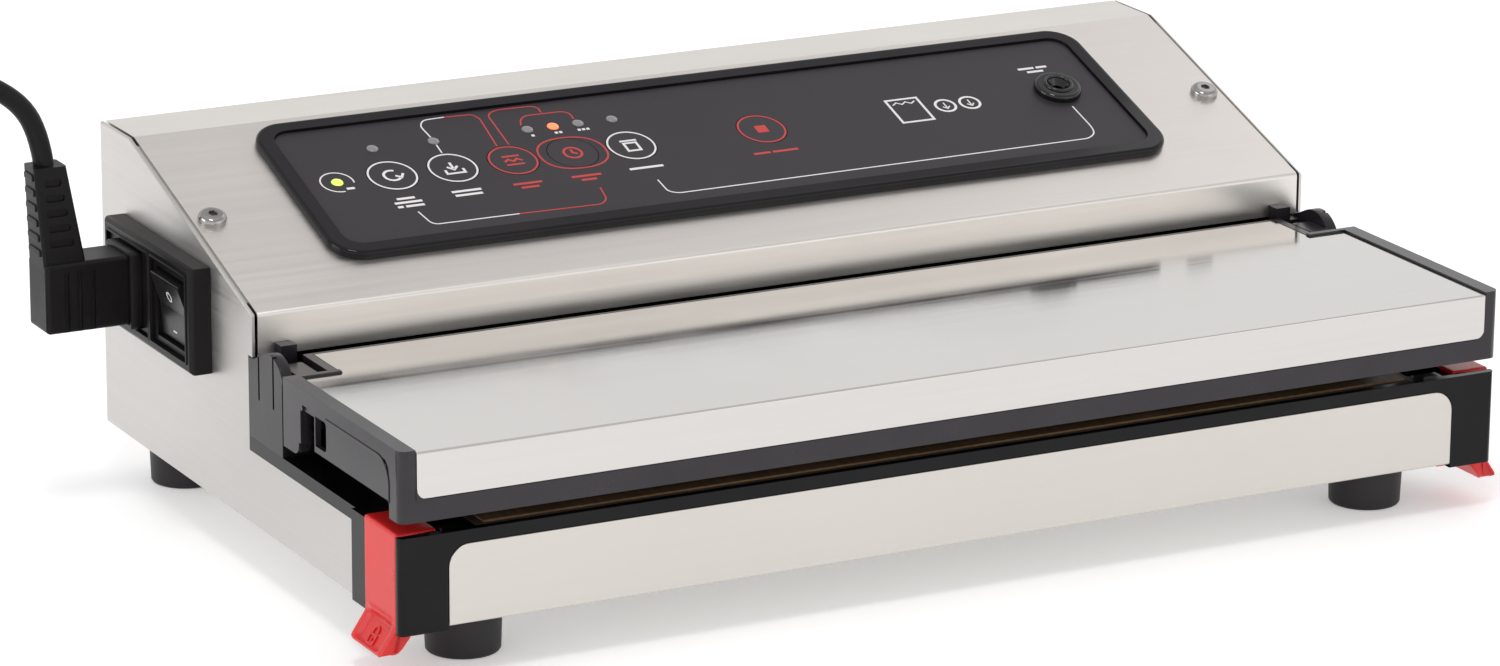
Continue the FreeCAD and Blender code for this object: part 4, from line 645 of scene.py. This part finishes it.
# oval: centre plus half size times the sign of (cos t, sin t) and their size to a power a little under 1
ovalWay = arc(0, 0, 1, 0, 360, 60)
oval = np.array(ink["ovalHalf"]) * np.sign(ovalWay) * abs(ovalWay) ** ink["ovalPower"]
redPrint.append(inkLine(oval + (keySpot["seal_time"][0], rowV), ink["ring"], True))
captions = [
    (whitePrint, keySpot["automatic"][0] - 1.2, -11.3, [[6.4], [9.8], [2.0, 6.6]]),
    (whitePrint, keySpot["vacuum"][0] - 1.2, -11.3, [[10.6], [9.8]]),
    (redPrint, keySpot["seal"][0] - 1.0, -11.5, [[10.4], [6.4]]),
    (redPrint, keySpot["seal_time"][0] - 1.4, -11.5, [[10.8], [5.6]]),
    (whitePrint, keySpot["canister"][0] - 0.8, -11.2, [[12.4]]),
    (redPrint, keySpot["stop"][0] - 1.4, -11.6, [[6.2, 9.6]]),
    (whitePrint, portU - 1.8, 18.4, [[6.2, 4.2], [6.4]])]
for sheet, u, v, rows in captions:
    for row, lengths in enumerate(rows):
        sheet += barRow(u, v - row * ink["rowStep"], lengths)
for u, count in ((-62.8, 1), (-53.4, 2), (-44.1, 3)):
    whitePrint += barRow(u + 0.3, lampV - 3.9, [1.1] * count, 0.5)
# generic sign: a sealed bag and the two pump heads
whitePrint.append(inkLine([(68.0, 9.5), (68.0, -4.5), (80.0, -4.5), (80.0, 9.5)], ink["sign"], True))
whitePrint.append(inkLine([(69.5 + k * 1.8, 6.4 + 1.3 * (k % 2)) for k in range(6)]))
for u in (88.0, 97.5):
    whitePrint.append(inkLine(arc(u, 2.5, 3.6), ink["sign"], True))
    whitePrint.append(inkLine([(u, 4.4), (u, 0.6)]))
    whitePrint.append(inkLine([(u - 1.3, 2.0), (u, 0.6), (u + 1.3, 2.0)]))
piece("panel_print_white", onPanel(together(whitePrint)), "base", "overlay_film", printWhite)
piece("panel_print_red", onPanel(together(redPrint)), "base", "overlay_film", printRed)

keySigns = {
    "automatic": [(arc(0, 0, 2.9, 60, 330, 24), False), ([(0.9, -0.3), (2.7, -1.6), (4.0, 0.5)], False)],
    "vacuum": [([(0, 3.2), (0, -1.0)], False), ([(-1.9, 0.8), (0, -1.1), (1.9, 0.8)], False),
               ([(-3.2, -0.9), (-3.2, -3.2), (3.2, -3.2), (3.2, -0.9)], False)],
    "seal": [([(-3.2, 2.5), (3.2, 2.5)], False), ([(-3.2, -2.5), (3.2, -2.5)], False),
             ([(-3.2, -0.6), (-1.6, 0.7), (0, -0.6), (1.6, 0.7), (3.2, -0.6)], False)],
    "seal_time": [(arc(0, 0, 3.1, 0, 360, 28), True), ([(0, 2.0), (0, 0), (1.5, -0.8)], False)],
    "canister": [([(-2.3, 1.5), (-2.3, -3.1), (2.3, -3.1), (2.3, 1.5)], True),
                 ([(-3.1, 2.9), (3.1, 2.9)], False)],
    "stop": []}
for name, strokes in keySigns.items():
    u, v = keySpot[name]
    marks = [inkLine(np.array(path) + (u, v), ink["sign"], closed) for path, closed in strokes]
    if name != "seal_time":
        marks.append(inkLine(arc(u, v, ink["keyRing"], 0, 360, 64), ink["ring"], True))
    if name == "stop":
        square, faces = roundedBlock(2.1, 2.1, ink["low"], ink["high"], 0.3, 0.02)
        marks.append((square + (u, v, 0), faces))
    tone = printRed if name in ("seal", "seal_time", "stop") else printWhite
    piece("key_print_" + name, onPanel(together(marks)), "key_" + name + "_body", "key_film", tone)
print("panel printed")


sealSet = {"groove": 0.35, "grooveHalf": 0.5, "crown": 1.3, "width": 6.0, "corner": 8.8, "gap": 0.3,
           "clear": 0.06}
lidAxis = next(j for j in frame["record"]["behaviour"]["joints"] if j["name"] == "lid_hinge")


# foam seal: a crowned section with a groove along its middle, flat where it is glued; its crown slopes by the
# distance from the lid's axis times the tangent of the closing angle, so that the two seals meet flush
def makeSeal(name, crownUp, given):
    low, high = cornersOf(name)
    width = given["width"]
    t = np.linspace(0, math.pi, 21)
    inset = width / 2 * (1 - np.cos(t))
    groove = given["groove"] * np.exp(-((inset - width / 2) / given["grooveHalf"]) ** 2)
    tall = high[2] - low[2]
    height = tall + given["crown"] * (np.sin(t) ** 0.7 - 1) - groove
    foot = [(width, 0.4), (width - 0.3, 0), (0.3, 0), (0, 0.4)]
    section = np.vstack([np.column_stack([inset, height]), foot])
    middle = (low + high) / 2
    half = (high - low) / 2
    points, faces = ringSweep(half[0], half[1], given["corner"], section, 9)
    way = 1 if crownUp else -1
    fromAxis = lidAxis["pos_m"][1] / mm - (middle[1] + way * points[:, 1])
    closing = math.tan(math.radians(-lidAxis["range_deg"][0]))
    meets = (fromAxis * closing - given["gap"]) / 2 + given["clear"]
    points[:, 2] -= np.where(points[:, 2] > tall / 2, meets, 0)
    glued = low[2] if crownUp else high[2]
    return placed((points, faces), (middle[0], middle[1], glued), (1, 0, 0), (0, way, 0))


for name, crownUp, body in (("lower_gasket", True, "base"), ("lid_gasket", False, "lid")):
    seal = makeSeal(name, crownUp, sealSet)
    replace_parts(piece(name + "_foam", seal, body, "gasket_rubber"), name)

stripSet = {"ribs": 5, "ribDepth": 0.28, "round": 0.8, "endRound": 0.5}


# silicone strip: rounded sides, and a face of even ribs, depth (1 + cos) / 2 across its width
def makePressingStrip(given):
    low, high = cornersOf("pressing_strip")
    half = (high - low) / 2
    middle = (low + high) / 2
    outline = roundedOutline(half[1], half[2], given["round"], 5)
    across = np.linspace(half[1] - given["round"], -half[1] + given["round"], 61)
    wave = (1 + np.cos(2 * math.pi * given["ribs"] * across / (2 * half[1]))) / 2
    ribs = np.column_stack([-across, -half[2] + given["ribDepth"] * wave])
    section = np.vstack([outline[outline[:, 1] > -half[2] + given["round"] - 0.01], ribs])
    end, step = given["endRound"], given["endRound"] * 0.3
    inset = np.array([end, step, 0, 0, step, end])
    along = np.array([-half[0], step - half[0], end - half[0], half[0] - end, half[0] - step, half[0]])
    yz = section[None] * (1 - inset[:, None, None] / half[2])
    loops = np.concatenate([np.repeat(along[:, None, None], len(section), 1), yz], -1)
    return placed(shell(loops), middle)


strip = makePressingStrip(stripSet)
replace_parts(piece("pressing_strip_ribbed", strip, "lid", "silicone_grey"), "pressing_strip")

footSet = {"groove": 0.12, "grooveAt": 13.6, "grooveHalf": 0.45, "taper": 0.6, "wellRadius": 5.0,
           "wellDepth": 8.0}


# rubber foot turned about its own axis: radius - taper (1 - z / height) - groove exp(-((z - at) / half)^2)
def makeFeet(given):
    points = pointsOf("feet")
    feet = []
    for side in (-1, 1):
        for end in (-1, 1):
            mine = points[(points[:, 0] * side > 0) & (points[:, 1] * end > 0)]
            low, high = mine.min(0), mine.max(0)
            radius, tall = (high[0] - low[0]) / 2, high[2]
            z = np.concatenate([np.linspace(0.9, tall - 1.2, 46), [tall - 0.9, tall - 0.45, tall]])
            groove = given["groove"] * np.exp(-((z - given["grooveAt"]) / given["grooveHalf"]) ** 2)
            r = radius - given["taper"] * (1 - z / tall) - groove
            well, deep = given["wellRadius"], given["wellDepth"]
            profile = [(2.0, deep), (well - 0.3, deep), (well, deep - 0.3), (well, 0.9), (well + 0.3, 0.3),
                       (well + 0.9, 0), (radius - 1.7, 0), (radius - 1.0, 0.25), (radius - 0.68, 0.7)]
            profile = np.vstack([profile, np.column_stack([r, z]), [(2.0, tall)]])
            feet.append(placed(turned(profile), ((low[0] + high[0]) / 2, (low[1] + high[1]) / 2, 0)))
    return together(feet)


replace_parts(piece("feet_rubber", makeFeet(footSet), "base", "foot_rubber"), "feet")
print("seals, strip and feet made")


# apron that closes the housing behind the lid, from the deck up to the inside of the cover's lip
apronSet = {"halfWidth": 181.5, "low": 46.0, "high": 74.6, "backY": -2.7, "thick": 0.9, "corner": 0.6,
            "edge": 0.25}
tall = (apronSet["high"] - apronSet["low"]) / 2
apron = roundedBlock(apronSet["halfWidth"], tall, 0, apronSet["thick"], apronSet["corner"], apronSet["edge"])
apron = placed(apron, (0, apronSet["backY"], apronSet["low"] + tall), (1, 0, 0), (0, 0, 1))
piece("housing_apron", apron, "base", "frame_black")


trimSet = {"bead": 0.45, "proud": 0.28, "sunk": 2.2, "curve": 8.0, "frontY": -114.1, "rearY": -67.5,
           "down": 4.8, "lowZ": 57.3, "corner": 3.2, "lap": 0.3, "cornerProud": 0.03}


# half-round bead along the edge of a side panel: section (r cos t, r sin t) carried along a line in y and z
def sideBead(given):
    high = cornersOf("lid_frame")[1]
    front, top, curve = given["frontY"], high[2] - given["down"], given["curve"]
    bend = arc(front + curve, top - curve, curve, 90, 180, 14)
    path = np.vstack([[(given["rearY"], top)], bend, [(front, given["lowZ"])]])
    ahead = np.gradient(path, axis=0)
    ahead /= np.linalg.norm(ahead, axis=1)[:, None]
    across = np.column_stack([-ahead[:, 1], ahead[:, 0]])
    t = np.linspace(0, math.pi, 9)
    sunk = [-given["sunk"]] * 2
    loops = []
    for c, s in zip(np.append(np.cos(t), [-1, 1]), np.append(np.sin(t), sunk)):
        flat = path + across * given["bead"] * c
        loops.append(np.column_stack([flat, np.full(len(path), given["proud"] * s)]))
    points, faces = shell(np.stack(loops, 1))
    return together([placed((points * (1, 1, side), faces), (side * high[0], 0, 0), (0, 1, 0), (0, 0, 1))
                     for side in (-1, 1)])


# black corner over the steel fold: a square corner less a quarter circle
def foldCorners(given):
    low, high = cornersOf("lid_facing")
    r, lap = given["corner"], given["lap"]
    outline = np.vstack([[(-lap, -lap), (r, -lap)], arc(r, r, r, 270, 180, 12), [(-lap, r)]])
    loops = np.stack([np.column_stack([outline, np.full(len(outline), n)])
                      for n in (-0.2, given["cornerProud"])])
    return together([placed(shell(loops * (-side, 1, 1)), (side * high[0], low[1], low[2]), up=(0, 0, 1))
                     for side in (-1, 1)])


piece("lid_side_beads", sideBead(trimSet), "lid", "lid_black", finishes["bezel_gloss"], 60)
piece("lid_fold_corners", foldCorners(trimSet), "lid", "lid_black")
print("lid trim made")


# in mm: how far the tab flares, the heights of its bends, and the places of the parts behind the lever
latchSet = {"flare": 5.3, "wall": 3.6, "hookThick": 1.3, "edge": 0.9, "ease": 1.0, "cornerRound": 2.8,
            "bendTop": 20.5, "bend": 17.6, "tip": 9.8, "backTop": 20.4, "back": 17.2, "backLow": 14.6,
            "recess": 1.1, "recessLow": 10.4, "recessHigh": 18.0, "recessHalf": 8.0, "soft": 0.28,
            "ridge": 0.4, "ridgeAt": 19.9, "lugRadius": 3.2, "lugY": -103.0, "lugLong": 8.0, "pivotIn": 8.2,
            "pivotZ": 30.0, "armY": -107.0, "heel": (-8.8, -108.0, 14.5), "signLine": 0.6, "signDown": 5.4}


# closed outline with eased corners, resampled evenly along its length
def easedOutline(corners, radius, count):
    corners = np.array(corners, float)
    sides = zip(np.roll(corners, 1, 0), corners, np.roll(corners, -1, 0))
    bends = [easedCorner(a, b, c, radius, 2.2, 7) for a, b, c in sides]
    line = np.vstack(bends + [bends[0][:1]])
    reach = np.concatenate([[0], np.cumsum(np.linalg.norm(np.diff(line, axis=0), axis=1))])
    at = np.linspace(0, reach[-1], count, endpoint=False)
    return np.column_stack([np.interp(at, reach, line[:, k]) for k in range(2)])


# 1 inside low..high and 0 outside, with soft shoulders: product of two logistic steps
def plateau(value, low, high, soft):
    return 1 / (1 + np.exp(-(value - low) / soft)) / (1 + np.exp((value - high) / soft))


# the lever's side view, from the top of its face down to the tab's tip and back up to the hook
def latchOutline(face, flare, nose, foot, top, given):
    wall, under = given["wall"], top - given["hookThick"]
    return [(face, top), (face, given["bendTop"]), (face, given["bend"]), (flare, given["tip"]),
            (flare - 0.6, foot), (face - 0.4, foot), (face - 5.2, given["backLow"]),
            (face - 5.4, given["back"]), (face - wall, given["backTop"]), (face - wall, top - 3.9),
            (nose + 2.0, under), (nose, under), (nose, top)]


# open padlock on the tab: a square body, a raised shackle (r cos t, r sin t) and a keyhole, in relief
def latchSign(face, middleY, given):
    slope = np.array([-given["flare"], 0, given["bend"] - given["tip"]])
    slope = slope / np.linalg.norm(slope)
    out = np.cross((0, 1, 0), slope)
    spot = np.array([face, middleY, given["bend"]])
    spot = spot - slope * given["signDown"] - out * given["recess"]
    shackle = np.vstack([[(1.4, 0.3)], arc(-0.1, 1.7, 1.5, 0, 200, 18)])
    paths = [([(-2.0, 0.3), (-2.0, -2.7), (2.0, -2.7), (2.0, 0.3)], True), (shackle, False),
             ([(0, -0.7), (0, -1.7)], False)]
    strokes = [flatLine(path, given["signLine"], -0.6, 0.45, closed) for path, closed in paths]
    return placed(together(strokes), spot, (0, 1, 0), slope)


# lever: an eased outline in x and z carried across its width, drawn in at the ends by edge (1 - sin t),
# narrowed at the foot by a quarter circle, with a finger recess and a ridge pushed along its normal
def makeLatch(side, given):
    low, high = cornersOf("latch_" + side)
    flare, nose = max(abs(low[0]), abs(high[0])), min(abs(low[0]), abs(high[0]))
    face, top, foot = flare - given["flare"], high[2], low[2]
    half, middleY = (high[1] - low[1]) / 2, (low[1] + high[1]) / 2
    line = easedOutline(latchOutline(face, flare, nose, foot, top, given), given["ease"], 220)
    ahead = np.roll(line, -1, 0) - np.roll(line, 1, 0)
    normal = np.column_stack([ahead[:, 1], -ahead[:, 0]])
    area = (line[:, 0] * np.roll(line[:, 1], -1) - np.roll(line[:, 0], -1) * line[:, 1]).sum()
    normal *= np.sign(area) / np.linalg.norm(normal, axis=1)[:, None]
    t = np.linspace(0, math.pi / 2, 5)
    edge = given["edge"]
    drawn = edge * (1 - np.sin(t))
    inset = np.concatenate([drawn, np.zeros(35), drawn[::-1]])
    ends = half - edge * (1 - np.cos(t))
    station = np.concatenate([-ends, np.linspace(-half + edge, half - edge, 37)[1:-1], ends[::-1]])
    x, z = line.T[:, None]
    nx, nz = normal.T[:, None]
    y = station[:, None]
    front = np.clip((nx - 0.3) * 4, 0, 1)
    reach, soft = given["recessHalf"], given["soft"]
    recess = plateau(z, given["recessLow"], given["recessHigh"], soft) * plateau(y, -reach, reach, soft)
    ridge = given["ridge"] * np.exp(-((z - given["ridgeAt"]) / 0.7) ** 2)
    ridge = ridge * plateau(y, -reach - 0.4, reach + 0.4, 0.4)
    push = front * (ridge - given["recess"] * recess) - inset[:, None]
    rounding = given["cornerRound"]
    short = np.clip(foot + rounding - z, 0, rounding)
    narrow = rounding - np.sqrt(rounding ** 2 - short ** 2)
    across = np.broadcast_to(y * (1 - narrow / half), push.shape) + middleY
    lever = shell(np.stack([x + nx * push, across, z + nz * push], -1))
    pivot, back = face - given["pivotIn"], face - 3.2
    r, long = given["lugRadius"], given["lugLong"]
    lug = turned([(r - 0.4, 0), (r, 0.4), (r, long - 0.4), (r - 0.4, long)])
    lug = placed(lug, (pivot, given["lugY"], given["pivotZ"]), (1, 0, 0), (0, 0, 1))
    arm = roundedBlock((back - pivot) / 2, 4.0, -3.2, 3.2, 0.4, 0.3)
    arm = placed(arm, ((back + pivot) / 2, given["armY"], given["pivotZ"]))
    heel = placed(roundedBlock(4.8, 2.0, -1.5, 1.5, 0.4, 0.3), (face, 0, 0) + np.array(given["heel"]))
    points, faces = together([(lever[0] * mm, lever[1]), lug, arm, heel, latchSign(face, middleY, given)])
    points = points * (1 if side == "right" else -1, 1, 1)
    return points, outward(points, faces)


for side in ("left", "right"):
    lever = makeLatch(side, latchSet)
    lever = piece("latch_lever_" + side, lever, "latch_" + side + "_body", "latch_red", crease=50)
    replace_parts(lever, "latch_" + side)
print("latches made")


inletSet = {"shroudHalf": (10.5, 13.1), "shroudProud": 3.3, "shroudWall": 1.9, "shroudRound": 1.6,
            "lipWidth": 0.9, "lipProud": 0.45, "lipOut": 1.1, "lipRound": 1.0, "tilt": 11.0,
            "axisIn": 4.0, "wingHalf": 10.9, "dish": 2.0, "tip": 3.4}
inletLow, inletHigh = cornersOf("inlet_frame")
wall, top = inletSet["shroudWall"], inletSet["shroudProud"]
shroudSection = [(0.25, -0.9), (0, -0.6), (0, top - 0.5), (0.15, top - 0.15), (0.5, top), (wall - 0.4, top),
                 (wall, top - 0.4), (wall, -0.9)]
wall, top = inletSet["lipWidth"], inletSet["lipProud"]
lipSection = [(0, -0.3), (0, top - 0.2), (0.2, top), (wall - 0.2, top), (wall, top - 0.2), (wall, -0.3)]


# a ring that stands on the inlet's face about the middle of a node; out of the face is -X
def inletRing(node, halfY, halfZ, corner, section):
    middle = sum(cornersOf(node)) / 2
    middle[0] = inletLow[0]
    return placed(ringSweep(halfY, halfZ, corner, section), middle, (0, -1, 0), (0, 0, 1))


rings = [inletRing("inlet_socket", *inletSet["shroudHalf"], inletSet["shroudRound"], shroudSection)]
for node in ("inlet_socket", "rocker_housing"):
    low, high = cornersOf(node)
    half = (high - low) / 2 + inletSet["lipOut"]
    rings.append(inletRing(node, half[1], half[2], inletSet["lipRound"], lipSection))
piece("inlet_rings", together(rings), "base", "inlet_black")

# ring and bar marks, each standing on its wing of the tilted rocker
tilt = math.radians(inletSet["tilt"])
turnBack = np.array([[math.cos(tilt), 0, math.sin(tilt)], [0, 1, 0], [-math.sin(tilt), 0, math.cos(tilt)]])
rockerLow, rockerHigh = cornersOf("power_rocker")
axisSpot = (rockerLow + rockerHigh) / 2
axisSpot[0], axisSpot[2] = inletLow[0] + inletSet["axisIn"], (inletLow[2] + inletHigh[2]) / 2
marks = []
for way, stroke, reach in ((1, flatLine(arc(0, 0, 1.6), 0.5, -0.05, 0.08, True), 4.6),
                           (-1, flatLine([(-1.4, 0), (1.4, 0)], 0.55, -0.05, 0.08), 7.6)):
    wing = np.array([-(inletSet["tip"] - inletSet["dish"]), 0, way * inletSet["wingHalf"]])
    wing = wing / np.linalg.norm(wing)
    spot = np.array([-inletSet["dish"], 0, 0]) + wing * reach
    up = wing * way
    marks.append(placed(stroke, axisSpot + spot @ turnBack, (0, -1, 0), up @ turnBack))
piece("rocker_marks", together(marks), "rocker_body", "rocker_black", printWhite)
print("inlet finished")


lampSet = {"radius": 1.95, "dome": 0.55}


# middles of the separate solids of a node that stand in a row along X
def spotsAlongX(name, apart=3.0):
    points = pointsOf(name)
    points = points[np.argsort(points[:, 0])]
    cuts = np.flatnonzero(np.diff(points[:, 0]) > apart) + 1
    return [(run.min(0) + run.max(0)) / 2 for run in np.split(points, cuts)]


# dome: radius sin t, height dome cos t, standing on a short wall
def lampCap(u, v, given):
    t = np.linspace(math.pi / 2, 0.08, 9)
    profile = np.column_stack([given["radius"] * np.sin(t), 0.08 + given["dome"] * np.cos(t)])
    made = turned(np.vstack([[(given["radius"], -0.05)], profile]), 28)
    return made[0] + (u, v, 0), made[1]


lampFinish = {"status_lights": "light_clear", "seal_time_light": "light_orange", "power_light": "light_green"}
for name, finish in lampFinish.items():
    caps = [lampCap(spot[0], spot @ panelUp - panelMiddle, lampSet) for spot in spotsAlongX(name)]
    piece(name + "_caps", onPanel(together(caps)), "base", finish)

portSet = {"radius": 5.3, "bead": 0.65, "rise": 0.75, "collar": 2.6}


# bead round the hose port's mouth: a half-round section (bead (1 - cos t), rise sin t) carried round a circle
def portBead(given):
    mount = next(m for m in frame["record"]["mounts"] if m["name"] == "accessory_hose_port")
    spot = np.array(mount["pos_m"]) / mm
    t = np.linspace(0, math.pi, 9)
    inset = given["bead"] * (1 - np.cos(t))
    height = given["collar"] + given["rise"] * np.sin(t)
    foot = [(inset[-1], height[-1] - 0.5), (0, height[0] - 0.5)]
    section = np.vstack([np.column_stack([inset, height]), foot])
    points, faces = ringSweep(given["radius"], given["radius"], given["radius"], section, 12)
    return points + (spot[0], spot @ panelUp - panelMiddle, 0), faces


piece("hose_port_bead", onPanel(portBead(portSet)), "base", "port_black")

# dark six-sided disc at the floor of each cover screw's socket, a little under the head's top: painted shade that
# stands in for the shadow deep in the socket
socketShadeSet = {"radius": 1.62, "depth": 0.55, "thick": 0.3, "dip": 0.12}
sockets = []
screwPoints = pointsOf("cover_screws")
for side in (-1, 1):
    mine = screwPoints[screwPoints[:, 0] * side > 0]
    head = (mine @ panelNormal).max() - socketShadeSet["depth"]
    near = mine[mine @ panelNormal > head - 0.4]
    middle = (near.min(0) + near.max(0)) / 2
    spot = np.array([middle[0], 0, 0]) + panelUp * (middle @ panelUp) + panelNormal * head
    r, thick = socketShadeSet["radius"], socketShadeSet["thick"]
    disc = turned([(r / 2, -thick), (r - 0.1, -thick), (r, 0), (r / 2, -socketShadeSet["dip"])], 6)
    sockets.append(placed(disc, spot, (1, 0, 0), panelUp))
# the discs of painted shade take the black port finish
piece("screw_socket_painted_shade", together(sockets), "base", "screw_bright", finishes["port_black"])
print("lamps and screws finished")
